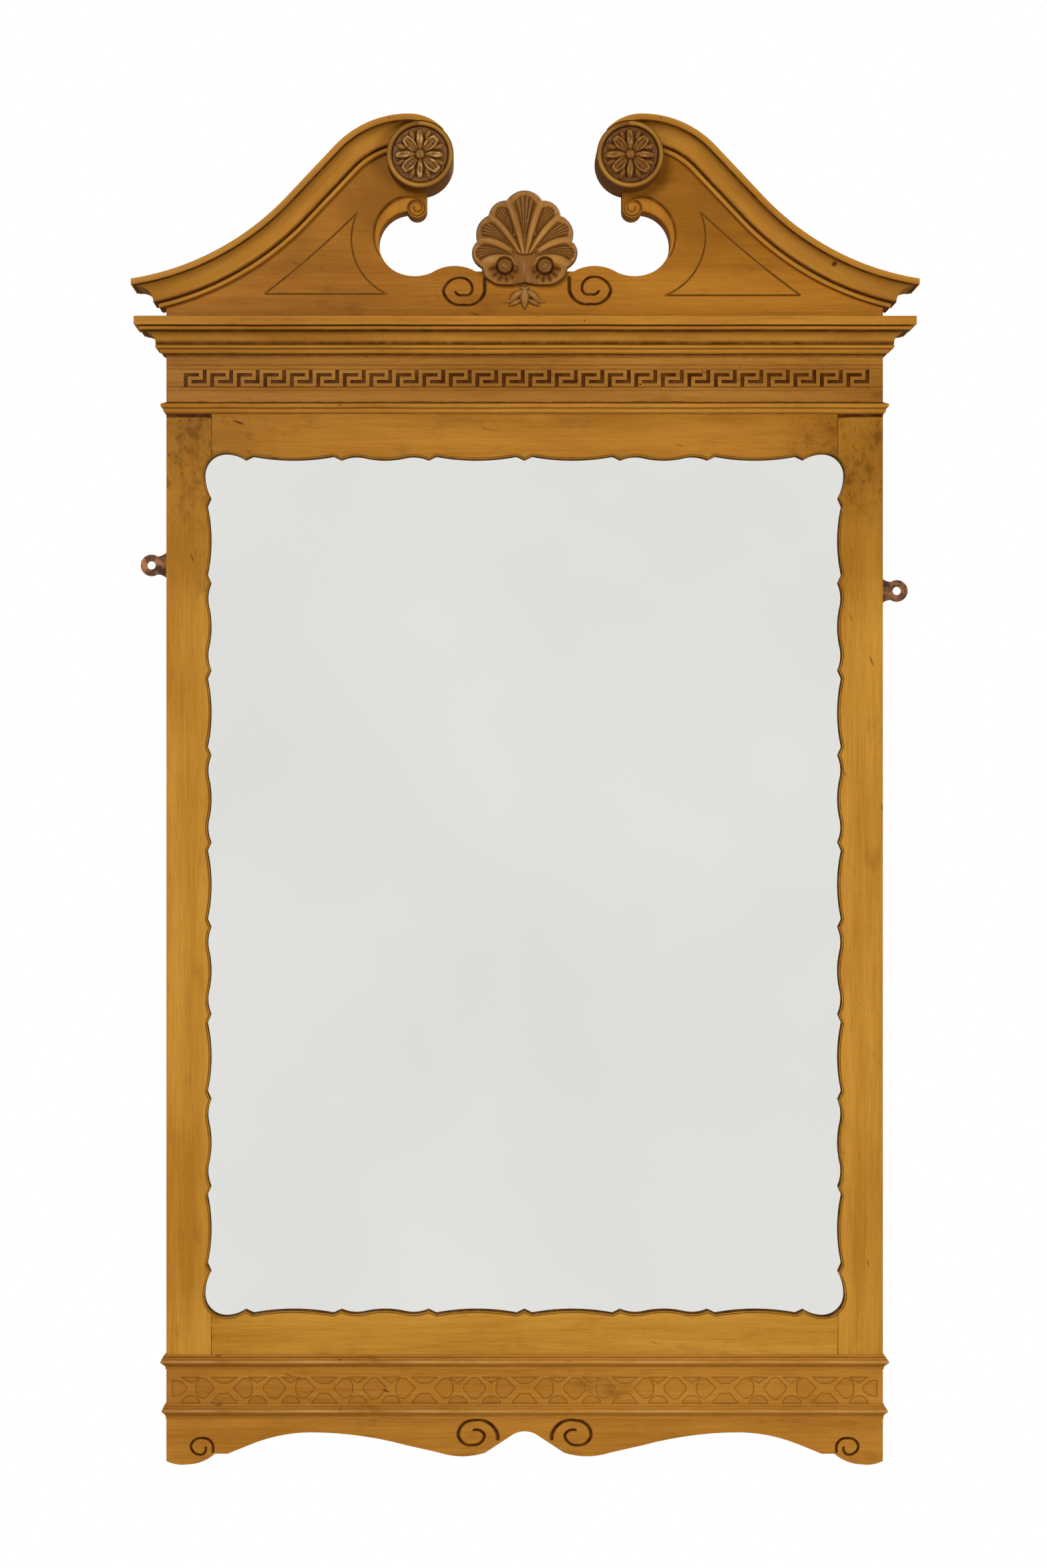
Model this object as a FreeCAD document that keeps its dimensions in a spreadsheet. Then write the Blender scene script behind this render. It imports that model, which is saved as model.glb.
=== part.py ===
"""Pier mirror with a swan-neck pediment, a carved shell, a key frieze and a blind-fret frieze.

X runs to the right, Z up, and the front faces -Y. The back lies flat on the wall plane Y = 0.
The origin is on the wall plane behind the middle of the mirror plate. Lengths are millimetres.
"""
import FreeCAD, Part
import math
import os
import Sketcher

SIZES = {
    # Frame of stiles and rails
    "frame_width": 690.0,
    "frame_height": 919.0,
    "board_thickness": 26.0,
    "stile_face": 36.3,
    "rail_face": 43.25,
    "tip_margin": 0.7,
    "tenon_length": 30.0,
    "tenon_thickness": 8.0,
    "tenon_height": 20.0,
    "tenon_inset": 3.5,
    "joint_clearance": 0.15,
    # Opening and its scalloped edge
    "tip_depth": 6.0,
    "notch_depth": 2.4,
    "dip_depth": 4.0,
    "dip_sag": 2.0,
    "side_bump": 66.0,
    "side_step": 8.0,
    "side_corner": 42.8,
    "rail_bump": 77.5,
    "rail_step": 7.5,
    "rail_corner": 39.5,
    "lobe_radius": 20.5,
    # Mirror plate, its blocks and the backboards
    "lip_thickness": 8.0,
    "glass_thickness": 4.0,
    "glass_cover": 7.3,
    "glass_clearance": 1.0,
    "block_width": 10.0,
    "block_length": 60.0,
    "block_spread_high": 300.0,
    "block_spread_wide": 180.0,
    "backboard_thickness": 10.0,
    "backboard_ledge": 8.0,
    "backboard_gap": 1.0,
    "centre_backboard": 214.0,
    "nail_half": 0.9,
    "nail_head_half": 2.2,
    "nail_head_height": 0.8,
    "nail_length": 20.0,
    "nail_spread": 80.0,
    "nail_spacing": 250.0,
    "fastener_clearance": 0.05,
    # Battens and wall plates
    "batten_width": 40.0,
    "batten_thickness": 10.0,
    "batten_clear": 23.5,
    "upper_batten_spread": 200.0,
    "upper_batten_rise": 66.4,
    "lower_batten_spread": 85.0,
    "lower_batten_fall": 28.0,
    "screw_radius": 2.0,
    "screw_head_radius": 4.0,
    "screw_head_height": 2.0,
    "screw_length": 20.0,
    "screw_inset": 12.0,
    "plate_thickness": 2.0,
    "plate_base_width": 17.0,
    "plate_base_height": 46.0,
    "plate_neck": 17.6,
    "plate_flare": 32.0,
    "plate_screw_spread": 30.0,
    "plate_screw_radius": 1.6,
    "plate_screw_head": 3.0,
    "plate_screw_head_height": 1.2,
    "plate_screw_length": 16.0,
    "ear_offset": 16.7,
    "ear_radius": 10.5,
    "ear_hole_radius": 4.0,
    "left_plate_drop": 149.9,
    "right_plate_drop": 174.7,
    # Friezes and apron
    "key_frieze_height": 72.5,
    "fret_frieze_height": 47.5,
    "apron_height": 50.75,
    # Mouldings: heights above or below the frame, and sections
    "astragal_drop": 5.85,
    "astragal_height": 11.0,
    "astragal_projection": 5.3,
    "astragal_fillet": 2.1,
    "astragal_bead": 4.5,
    "astragal_step": 2.6,
    "astragal_foot": 1.1,
    "bed_rise": 50.75,
    "bed_height": 9.25,
    "bed_projection": 9.9,
    "bed_bead": 3.8,
    "bed_foot": 1.7,
    "cornice_height": 24.6,
    "cornice_projection": 28.5,
    "corona_height": 8.1,
    "cornice_bead": 3.4,
    "cornice_bead_seat": 22.6,
    "cove_top": 20.3,
    "cove_foot": 9.5,
    "quirk": 0.9,
    "fret_bead_height": 14.1,
    "fret_bead_drop": 6.55,
    "upper_bead_projection": 5.3,
    "lower_bead_projection": 4.3,
    "fret_bead_fillet": 4.5,
    "fret_bead_round": 4.0,
    # Swan-neck moulding
    "neck_projection": 31.0,
    "neck_fillet": 5.8,
    "neck_cove_top": 28.2,
    "neck_cove_foot": 11.5,
    "neck_cove_height": 16.4,
    "neck_seat": 4.5,
    "rope_radius": 2.45,
    "neck_tip_rise": 42.0,
    "neck_tip_margin": 14.7,
    "neck_tip_slope": 5.6,
    "neck_slope": 46.65,
    "neck_sweep_radius": 259.3,
    "neck_crown_radius": 97.2,
    "neck_crown_offset": 10.6,
    "crest_cover": 6.3,
    # Rosettes
    "rosette_spacing": 200.6,
    "drum_radius": 32.0,
    "drum_projection": 30.0,
    "drum_rim": 6.0,
    "drum_recess": 4.0,
    "drum_round": 2.5,
    "flower_clearance": 0.2,
    "flower_base": 1.5,
    "leaf_half": 3.0,
    "petal_half": 4.2,
    "petal_inner": 5.5,
    "petal_reach": 22.5,
    "boss_radius": 4.8,
    "boss_height": 6.0,
    "petal_count": 8,
    # Key frieze
    "key_margin": 13.2,
    "key_count": 26,
    "key_strip": 16.4,
    "key_rise": 28.6,
    "key_depth": 1.8,
    "bevel_height": 4.5,
    "bevel_depth": 1.2,
    # Blind fret
    "fret_margin": 7.25,
    "fret_count": 7,
    "fret_axis": 24.95,
    "fret_depth": 0.7,
    "fret_top": 10.9,
    "fret_bottom": 14.5,
    "fret_strap": 4.6,
    "fret_wide_half": 13.2,
    "fret_narrow_half": 9.4,
    "fret_cell_reach": 13.2,
    "fret_cell_rise": 9.8,
    "fret_end_gap": 5.5,
    # Apron edge
    "foot_lift": 3.2,
    "foot_low": 20.0,
    "foot_width": 46.8,
    "foot_rise": 10.3,
    "foot_step": 12.2,
    "arch_start": 83.0,
    "arch_start_rise": 20.0,
    "arch_crest": 138.0,
    "arch_crest_rise": 30.9,
    "arch_fall": 114.3,
    "arch_fall_rise": 18.6,
    "drop_outer": 82.0,
    "drop_inner": 38.0,
    "drop_rise": 11.3,
    "peak_half": 14.0,
    "peak_shoulder": 27.0,
    # Incised lines and scrolls
    "groove_width": 2.6,
    "groove_depth": 1.2,
    "panel_line": 1.5,
    "foot_scroll_in": 34.2,
    "foot_scroll_rise": 17.4,
    "foot_scroll_reach": 10.7,
    "foot_scroll_round": 7.9,
    "foot_scroll_eye": 3.5,
    "foot_scroll_lead": 6.3,
    "drop_scroll_out": 50.0,
    "drop_scroll_rise": 28.3,
    "drop_scroll_reach": 24.0,
    "drop_scroll_round": 14.0,
    "drop_scroll_low": 9.6,
    "drop_scroll_eye": 11.4,
    "drop_scroll_end": 4.5,
    "drop_scroll_lead": 5.2,
    "left_scroll_out": 58.8,
    "left_scroll_rise": 27.9,
    "right_scroll_out": 63.6,
    "right_scroll_rise": 28.8,
    "scroll_lead": 13.5,
    "scroll_reach": 20.5,
    "scroll_drop": 13.2,
    "scroll_eye": 8.2,
    "scroll_eye_drop": 3.8,
    "left_panel_apex": 160.7,
    "left_panel_rise": 103.9,
    "left_panel_base": 25.2,
    "left_panel_outer": 250.6,
    "left_panel_inner": 132.4,
    "right_panel_apex": 169.0,
    "right_panel_rise": 104.6,
    "right_panel_base": 23.8,
    "right_panel_outer": 265.8,
    "right_panel_inner": 135.2,
    "band_start_out": 139.4,
    "band_start_rise": 61.3,
    "band_top_out": 122.0,
    "band_top_rise": 117.7,
    "band_end_out": 103.5,
    "band_end_rise": 116.2,
    "curl_line_out": 113.0,
    "curl_line_rise": 106.5,
    # Cut scrolls of the pediment board
    "board_setback": 2.0,
    "neck_edge": 6.3,
    "curl_drop": 46.0,
    "curl_radius": 9.7,
    "cut_out": 123.7,
    "cut_rise": 46.4,
    "floor_in": 89.7,
    "floor_rise": 45.6,
    "hump_in": 47.2,
    "hump_rise": 46.9,
    "tongue_half": 40.0,
    "tongue_shoulder": 78.4,
    "tongue_top": 111.4,
    # Shell and husk drop
    "shell_rise": 33.4,
    "shell_lip_drop": 21.7,
    "shell_lip_in": 12.1,
    "shell_lip_out": 31.1,
    "shell_reach": 65.2,
    "shell_fall": 0.2305,
    "shell_base": 6.0,
    "shell_rib": 5.2,
    "shell_rib_start": 9.0,
    "eye_out": 19.3,
    "eye_drop": 4.8,
    "eye_radius": 6.5,
    "eye_relief": 7.0,
    "lip_out": 27.0,
    "lip_drop": 13.0,
    "lip_half": 17.0,
    "lip_turn": 76.0,
    "lip_round": 4.6,
    "husk_top": 32.4,
    "husk_block": 9.0,
    "husk_block_height": 5.0,
    "husk_petal": 21.0,
    "husk_side_petal": 24.0,
    "husk_petal_half": 4.5,
    "husk_height": 6.0,
}


class Size:
    """A number together with the sheet expression that gives it."""

    def __init__(self, value, text):
        self.value = value
        self.text = text

    def __add__(self, other):
        other = sized(other)
        return Size(self.value + other.value, f"({self.text} + {other.text})")

    def __sub__(self, other):
        other = sized(other)
        return Size(self.value - other.value, f"({self.text} - {other.text})")

    def __mul__(self, other):
        other = sized(other)
        return Size(self.value * other.value, f"({self.text} * {other.text})")

    def __truediv__(self, other):
        other = sized(other)
        return Size(self.value / other.value, f"({self.text} / {other.text})")

    def __radd__(self, other):
        return sized(other) + self

    def __rsub__(self, other):
        return sized(other) - self

    def __rmul__(self, other):
        return sized(other) * self

    def __rtruediv__(self, other):
        return sized(other) / self

    def __neg__(self):
        return Size(-self.value, f"(-1 * {self.text})")


def sized(number):
    """The number as a Size, if it isn't one yet."""
    if isinstance(number, Size):
        return number
    return Size(float(number), f"({float(number)!r})")


def root(size):
    return Size(math.sqrt(size.value), f"sqrt({size.text})")


def sine(degrees):
    return Size(math.sin(math.radians(degrees.value)), f"sin({degrees.text} * 1 deg)")


def cosine(degrees):
    return Size(math.cos(math.radians(degrees.value)), f"cos({degrees.text} * 1 deg)")


class Sheet:
    """The spreadsheet of driving dimensions, each read as an attribute."""

    def __init__(self, doc, sizes):
        self.sizes = sizes
        cells = doc.addObject("Spreadsheet::Sheet", "Sizes")
        for row, (name, value) in enumerate(sizes.items(), start=1):
            cells.set(f"A{row}", name)
            cells.set(f"B{row}", str(value))
            cells.setAlias(f"B{row}", name)

    def __getattr__(self, name):
        return Size(float(self.sizes[name]), f"Sizes.{name}")


class Circle:
    """A round outline in a sketch."""

    def __init__(self, across, up, radius):
        self.across = sized(across)
        self.up = sized(up)
        self.radius = sized(radius)


def rectangle(left, bottom, right, top):
    return [(left, bottom), (right, bottom), (right, top), (left, top)]


def flipped(corners):
    """The outline mirrored left to right."""
    return [(-sized(corner[0]), corner[1], -sized(bend_of(corner))) for corner in corners]


def with_mirror(half):
    """A closed outline from its left half, whose last corner joins its own mirror image."""
    back = []
    for index in range(len(half) - 1, -1, -1):
        bend = bend_of(half[index - 1]) if index else 0
        back.append((-sized(half[index][0]), half[index][1], bend))
    return half + back


def bend_of(corner):
    return corner[2] if len(corner) > 2 else 0


def arc_centre(start, end, bend):
    """Centre of the arc between two corners, from its height as a share of half its chord."""
    spread = (bend * bend - 1) / (4 * bend)
    across = (start[0] + end[0]) / 2 - (end[1] - start[1]) * spread
    up = (start[1] + end[1]) / 2 + (end[0] - start[0]) * spread
    return across, up


class Piece:
    """One solid of the mirror: a body of sketches, pads and pockets bound to the sheet."""

    made = []

    def __init__(self, label):
        self.body = FreeCAD.ActiveDocument.addObject("PartDesign::Body", label)
        self.body.Label = label
        Piece.made.append(self.body)

    def plane(self, role):
        """One of the body's own planes or axes."""
        return [item for item in self.body.Origin.OriginFeatures if item.Role == role][0]

    def sketch(self, role, loops, offset=0):
        """Closed outlines on one of the body's planes, moved along the plane's normal."""
        drawing = self.body.newObject("Sketcher::SketchObject", f"{self.body.Name}_sketch")
        drawing.AttachmentSupport = [(self.plane(role), "")]
        drawing.MapMode = "FlatFace"
        offset = sized(offset)
        drawing.AttachmentOffset = FreeCAD.Placement(FreeCAD.Vector(0, 0, offset.value), FreeCAD.Rotation())
        drawing.setExpression("AttachmentOffset.Base.z", offset.text)
        for loop in loops:
            if isinstance(loop, Circle):
                draw_circle(drawing, loop)
            else:
                draw_path(drawing, loop, True)
        return drawing

    def pad(self, drawing, length, both=False):
        feature = self.body.newObject("PartDesign::Pad", f"{self.body.Name}_pad")
        feature.Profile = drawing
        feature.SideType = "Symmetric" if both else "One side"
        feature.setExpression("Length", sized(length).text)
        return feature

    def pocket(self, drawing, depth, both=False, reverse=False):
        feature = self.body.newObject("PartDesign::Pocket", f"{self.body.Name}_pocket")
        feature.Profile = drawing
        feature.SideType = "Symmetric" if both else "One side"
        feature.Reversed = reverse
        feature.setExpression("Length", sized(depth).text)
        return feature

    def board(self, loops, thickness, back=0):
        """A pad towards the front from a plane parallel to the wall."""
        return self.pad(self.sketch("XZ_Plane", loops, back), thickness)

    def cut_back(self, loops, depth):
        """A pocket from the wall plane towards the front."""
        return self.pocket(self.sketch("XZ_Plane", loops), depth, reverse=True)

    def cut_front(self, loops, depth, front):
        """A pocket from a plane parallel to the wall back towards the wall."""
        return self.pocket(self.sketch("XZ_Plane", loops, front), depth)

    def pipe(self, profile, spine):
        feature = self.body.newObject("PartDesign::AdditivePipe", f"{self.body.Name}_pipe")
        feature.Profile = profile
        feature.Spine = spine
        return feature

    def turned(self, drawing, axis):
        """A profile turned once round one of its sketch's own axes."""
        feature = self.body.newObject("PartDesign::Revolution", f"{self.body.Name}_turned")
        feature.Profile = drawing
        feature.ReferenceAxis = (drawing, [axis])
        feature.Angle = 360
        return feature

    def swelling(self, middle, turn, ends, half_width, relief, front):
        """A carved swelling, oval in section, along a line parallel to the wall.

        The line points at an angle from upright, and the ends are measured along it from the middle.
        """
        turn = sized(turn)
        reach = (ends[0] + ends[1]) / 2
        across = middle[0] + reach * sine(turn)
        up = middle[1] + reach * cosine(turn)
        feature = self.body.newObject("PartDesign::AdditiveEllipsoid", f"{self.body.Name}_swelling")
        feature.AttachmentSupport = [(self.plane("XZ_Plane"), "")]
        feature.MapMode = "FlatFace"
        feature.AttachmentOffset = FreeCAD.Placement(
            FreeCAD.Vector(across.value, up.value, front.value),
            FreeCAD.Rotation(FreeCAD.Vector(0, 0, 1), -turn.value),
        )
        feature.setExpression("AttachmentOffset.Base.x", across.text)
        feature.setExpression("AttachmentOffset.Base.y", up.text)
        feature.setExpression("AttachmentOffset.Base.z", front.text)
        feature.setExpression("Radius1", relief.text)
        feature.setExpression("Radius2", half_width.text)
        feature.setExpression("Radius3", ((ends[1] - ends[0]) / 2).text)
        return feature

    def path(self, role, corners, offset=0):
        """An open run of lines and arcs for a pipe to follow."""
        drawing = self.sketch(role, [], offset)
        draw_path(drawing, corners, False)
        return drawing

    def repeat_along(self, feature, drawing, length, count):
        pattern = self.body.newObject("PartDesign::LinearPattern", f"{self.body.Name}_row")
        pattern.Originals = [feature]
        pattern.Direction = (drawing, ["H_Axis"])
        pattern.setExpression("Length", length.text)
        pattern.setExpression("Occurrences", count.text)
        self.body.Tip = pattern

    def repeat_round(self, feature, count):
        pattern = self.body.newObject("PartDesign::PolarPattern", f"{self.body.Name}_round")
        pattern.Originals = [feature]
        pattern.Axis = (self.plane("Y_Axis"), [""])
        pattern.Angle = 360
        pattern.setExpression("Occurrences", count.text)
        self.body.Tip = pattern


def hold(drawing, ties):
    """Add the constraints and bind each one's value to the sheet."""
    indices = drawing.addConstraint([constraint for constraint, size in ties])
    for index, (constraint, size) in zip(indices, ties):
        drawing.setExpression(f"Constraints[{index}]", size.text)


def tie(kind, geometry, point, size):
    """Hold one point of the sketch at a distance from the sketch's origin."""
    return Sketcher.Constraint(kind, -1, 1, geometry, point, size.value), size


def draw_circle(drawing, circle):
    centre = FreeCAD.Vector(circle.across.value, circle.up.value, 0)
    shape = Part.Circle(centre, FreeCAD.Vector(0, 0, 1), circle.radius.value)
    geometry = drawing.addGeometry(shape, False)
    size = circle.radius
    ties = [(Sketcher.Constraint("Radius", geometry, size.value), size)]
    ties.append(tie("DistanceX", geometry, 3, circle.across))
    ties.append(tie("DistanceY", geometry, 3, circle.up))
    hold(drawing, ties)


def draw_path(drawing, corners, closed):
    """Lines and arcs through the corners.

    A corner is (across, up) or (across, up, bend). The bend is the height of the arc that leaves
    the corner as a share of half its chord, positive where the arc swells to the left of the run.
    """
    points = [(sized(corner[0]), sized(corner[1])) for corner in corners]
    bends = [sized(bend_of(corner)) for corner in corners]
    runs = len(points) if closed else len(points) - 1
    shapes = []
    ends = []
    for index in range(runs):
        end = points[(index + 1) % len(points)]
        shapes.append(run_shape(points[index], end, bends[index]))
        ends.append((2, 1) if bends[index].value > 0 else (1, 2))
    first = drawing.GeometryCount
    drawing.addGeometry(shapes, False)
    joins = []
    for index in range(runs if closed else runs - 1):
        following = (index + 1) % runs
        join = (first + index, ends[index][1], first + following, ends[following][0])
        joins.append(Sketcher.Constraint("Coincident", *join))
    drawing.addConstraint(joins)
    ties = []
    for index in range(runs):
        end = points[(index + 1) % len(points)]
        ties += run_ties(first + index, ends[index], points[index], end, bends[index])
    if not closed:
        ties.append(tie("DistanceX", first + runs - 1, ends[-1][1], points[-1][0]))
        ties.append(tie("DistanceY", first + runs - 1, ends[-1][1], points[-1][1]))
    hold(drawing, ties)


def run_shape(start, end, bend):
    """A straight run, or an arc when the bend isn't zero."""
    here = FreeCAD.Vector(start[0].value, start[1].value, 0)
    there = FreeCAD.Vector(end[0].value, end[1].value, 0)
    if bend.value == 0:
        return Part.LineSegment(here, there)
    across, up = arc_centre(start, end, bend)
    centre = FreeCAD.Vector(across.value, up.value, 0)
    circle = Part.Circle(centre, FreeCAD.Vector(0, 0, 1), (here - centre).Length)
    if bend.value > 0:
        here, there = there, here
    first = math.atan2(here.y - centre.y, here.x - centre.x)
    last = math.atan2(there.y - centre.y, there.x - centre.x)
    return Part.ArcOfCircle(circle, first, last if last > first else last + 2 * math.pi)


def run_ties(geometry, ends, start, end, bend):
    """Constraints for a run's start and, on an arc, for its centre."""
    ties = [tie("DistanceX", geometry, ends[0], start[0])]
    ties.append(tie("DistanceY", geometry, ends[0], start[1]))
    if bend.value == 0:
        return ties
    across, up = arc_centre(start, end, bend)
    rise = abs(end[1].value - start[1].value)
    reach = abs(end[0].value - start[0].value)
    if rise > reach:
        ties.append(tie("DistanceX", geometry, 3, across))
    else:
        ties.append(tie("DistanceY", geometry, 3, up))
    return ties


doc = FreeCAD.newDocument("PierMirror")
S = Sheet(doc, SIZES)

# Heights of arcs as shares of half their chords; a plus swells to the left of the run
QUARTER_BEND = math.tan(math.pi / 8)
PLATE_FLARE = 0.3
CORNICE_COVE = -0.45
BED_OVOLO = 0.4
ASTRAGAL_OVOLO = 0.4
BEAD_COVE = -0.35
NECK_COVE = -0.42
FRET_ARCH = 0.8
FRET_LENS = 0.55
FOIL_LOBE = 0.8
FOOT_TOE = -0.15
FOOT_HEEL = -0.18
ARCH_START = 0.09
ARCH_CREST = 0.066
DROP_SAG = -0.16
PEAK_LOBE = 0.35
CURL_END = 0.846
CUT_SIDE = -0.74
CUT_FLOOR = -0.218
CUT_HUMP = 0.28
PANEL_HOLLOW = -0.43
PANEL_BOW = 0.035
BAND_SWELL = 0.458
BAND_CREST = 0.17
SHELL_FOOT = 0.1
SHELL_LIP = 0.4

# Shares of a length, and a turn in degrees
HOLLOW_SHARE = 0.28
BEAD_EDGE_SHARE = 0.25
BEAD_FOOT_SHARE = 0.15
TAIL_SHARE = 0.7
FRET_NEAR_SHARE = 1.8
FOIL_WAIST_SHARE = 0.52
CURL_OUT_SHARE = 0.94
CURL_DROP_SHARE = 0.34
SCROLL_TURN_SHARE = 0.95
QUARTER_TURN = 90.0

# Main levels and edges, measured from the middle of the mirror plate on the wall plane
half_width = S.frame_width / 2
half_height = S.frame_height / 2
opening_half = half_width - S.stile_face
opening_rise = half_height - S.rail_face
stile_edge = opening_half - S.tip_depth - S.tip_margin
rail_edge = opening_rise - S.tip_depth - S.tip_margin
key_top = half_height + S.key_frieze_height
fret_foot = half_height + S.fret_frieze_height
foot_level = fret_foot + S.apron_height
cornice_foot = half_height + S.bed_rise + S.bed_height
cornice_top = cornice_foot + S.cornice_height
glass_half = opening_half + S.glass_cover
glass_rise = opening_rise + S.glass_cover
rebate_half = glass_half + S.backboard_ledge
rebate_rise = glass_rise + S.backboard_ledge
key_pitch = (S.frame_width - S.key_margin * 2) / S.key_count
fret_period = (S.frame_width - S.fret_margin * 2) / S.fret_count
fret_tie_gap = fret_period / 3


def sided(side, loops):
    """Outlines drawn for the left side, mirrored when the side is the right one."""
    if side == "left":
        return loops
    turned = []
    for loop in loops:
        if isinstance(loop, Circle):
            turned.append(Circle(-loop.across, loop.up, loop.radius))
        else:
            turned.append(flipped(loop))
    return turned


def overturned(corners):
    """The outline mirrored top to bottom."""
    return [(corner[0], -sized(corner[1]), -sized(bend_of(corner))) for corner in corners]


def arc_bend(start, end, radius):
    """Bend of the arc of a given radius between two corners."""
    across = end[0] - start[0]
    up = end[1] - start[1]
    half_chord = root(across * across + up * up) / 2
    return (radius - root(radius * radius - half_chord * half_chord)) / half_chord


# Scalloped edge of the opening: marks along one half, as (along, depth, swell of the run that leaves it)


def bump_marks(start, length):
    """A long shallow swelling between two notches."""
    return [(start, S.notch_depth, (S.tip_depth - S.notch_depth) * 2 / length)]


def wave_marks(start, length):
    """Hollow, swelling and hollow between two tips."""
    hollow = length * HOLLOW_SHARE
    crest = length - hollow * 2
    hollow_swell = -(S.dip_sag * 2 / hollow)
    crest_swell = (S.tip_depth - S.dip_depth) * 2 / crest
    return [
        (start, S.tip_depth, hollow_swell),
        (start + hollow, S.dip_depth, crest_swell),
        (start + hollow + crest, S.dip_depth, hollow_swell),
    ]


def corner_marks(half_length, corner):
    """The last tip and the start of the round corner lobe."""
    run = corner - S.lobe_radius
    return [
        (half_length - corner, S.tip_depth, -(S.tip_depth / run / 2)),
        (half_length - S.lobe_radius, sized(0), sized(0)),
    ]


def side_marks():
    """From the end of the middle swelling of a stile to its corner lobe."""
    bump = S.side_bump
    step = S.side_step
    wave = (opening_rise - S.side_corner - bump * 2.5 - step * 5) / 2
    marks = []
    along = bump / 2
    for repeat in range(2):
        marks += [(along, S.notch_depth, sized(0))]
        marks += wave_marks(along + step, wave)
        marks += [(along + step + wave, S.tip_depth, sized(0))]
        marks += bump_marks(along + step * 2 + wave, bump)
        along = along + step * 2 + wave + bump
    marks += [(along, S.notch_depth, sized(0))]
    return marks + corner_marks(opening_rise, S.side_corner)


def rail_marks():
    """From the notch beside the middle tip of a rail to its corner lobe."""
    bump = S.rail_bump
    step = S.rail_step
    wave = opening_half - S.rail_corner - bump * 2 - step * 4
    marks = bump_marks(step, bump)
    along = step + bump
    marks += [(along, S.notch_depth, sized(0))]
    marks += wave_marks(along + step, wave)
    along = along + step + wave
    marks += [(along, S.tip_depth, sized(0))]
    marks += bump_marks(along + step, bump)
    marks += [(along + step + bump, S.notch_depth, sized(0))]
    return marks + corner_marks(opening_half, S.rail_corner)


def whole_edge(marks, middle):
    """Marks of the whole edge, from one corner lobe to the other; the middle joins the two halves."""
    lower = []
    for index in range(len(marks) - 1, -1, -1):
        swell = marks[index - 1][2] if index else middle[0]
        lower.append((-marks[index][0], marks[index][1], swell))
    return lower + middle[1:] + marks


def stile_scallop():
    """Region cut away from the left stile."""
    marks = side_marks()
    middle = [(S.tip_depth - S.notch_depth) * 2 / S.side_bump]
    edge = whole_edge(marks, middle)
    corners = [(S.lobe_radius - opening_half, -opening_rise, QUARTER_BEND)]
    for along, depth, swell in edge[:-1]:
        corners.append((depth - opening_half, along, -swell))
    corners.append((-opening_half, opening_rise - S.lobe_radius, QUARTER_BEND))
    corners.append((S.lobe_radius - opening_half, opening_rise))
    return corners


def rail_scallop():
    """Region cut away from the top rail."""
    marks = rail_marks()
    middle = [sized(0), (sized(0), S.tip_depth, sized(0))]
    edge = whole_edge(marks, middle)
    corners = [(-opening_half, opening_rise - S.lobe_radius, QUARTER_BEND)]
    for along, depth, swell in edge[:-1]:
        corners.append((along, opening_rise - depth, -swell))
    corners.append((opening_half - S.lobe_radius, opening_rise, QUARTER_BEND))
    corners.append((opening_half, opening_rise - S.lobe_radius))
    return corners


# Frame


def tenon_section(clearance):
    """Section of a tenon in the upper corner, seen from the side."""
    back = (S.board_thickness - S.tenon_thickness) / 2
    top = half_height - S.tenon_inset
    return rectangle(
        -(back + S.tenon_thickness + clearance),
        top - S.tenon_height - clearance,
        clearance - back,
        top + clearance,
    )


def cut_rebates(piece):
    """Rebates at the back of the frame for the glass and for the backboards."""
    glass = rectangle(-glass_half, -glass_rise, glass_half, glass_rise)
    boards = rectangle(-rebate_half, -rebate_rise, rebate_half, rebate_rise)
    piece.cut_back([glass], S.board_thickness - S.lip_thickness)
    piece.cut_back([boards], S.backboard_thickness)


def make_stile(side):
    piece = Piece(f"{side}_stile")
    blank = rectangle(-half_width, -half_height, -stile_edge, half_height)
    piece.board(sided(side, [blank]), S.board_thickness)
    piece.cut_back(sided(side, [stile_scallop()]), S.board_thickness)
    cut_rebates(piece)
    section = tenon_section(S.joint_clearance)
    reach = -stile_edge if side == "left" else stile_edge
    drawing = piece.sketch("YZ_Plane", [section, overturned(section)], reach)
    piece.pocket(drawing, S.tenon_length + S.joint_clearance, reverse=side == "right")
    piece.cut_back(sided(side, [plate_base(side)]), S.plate_thickness)
    piece.cut_back(sided(side, plate_screw_holes(side)), S.plate_screw_length + S.joint_clearance)
    piece.cut_back(sided(side, nail_holes(stile_nails())), S.nail_length + S.joint_clearance)


def make_rail(level):
    """The top rail, or its mirror image at the bottom."""
    piece = Piece(f"{level}_rail")
    turn = (lambda loop: loop) if level == "top" else overturned
    blank = rectangle(-stile_edge, rail_edge, stile_edge, half_height)
    piece.board([turn(blank)], S.board_thickness)
    tenons = piece.sketch("YZ_Plane", [turn(tenon_section(sized(0)))])
    piece.pad(tenons, (stile_edge + S.tenon_length) * 2, both=True)
    piece.cut_back([turn(rail_scallop())], S.board_thickness)
    cut_rebates(piece)
    piece.cut_back(nail_holes(rail_nails(level)), S.nail_length + S.joint_clearance)
    cut_for_battens(piece, level)


# Mirror plate, blocks and backboards


def make_mirror_plate():
    piece = Piece("mirror_plate")
    across = glass_half - S.glass_clearance
    up = glass_rise - S.glass_clearance
    back = S.board_thickness - S.lip_thickness - S.glass_thickness
    piece.board([rectangle(-across, -up, across, up)], S.glass_thickness, back)


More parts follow.
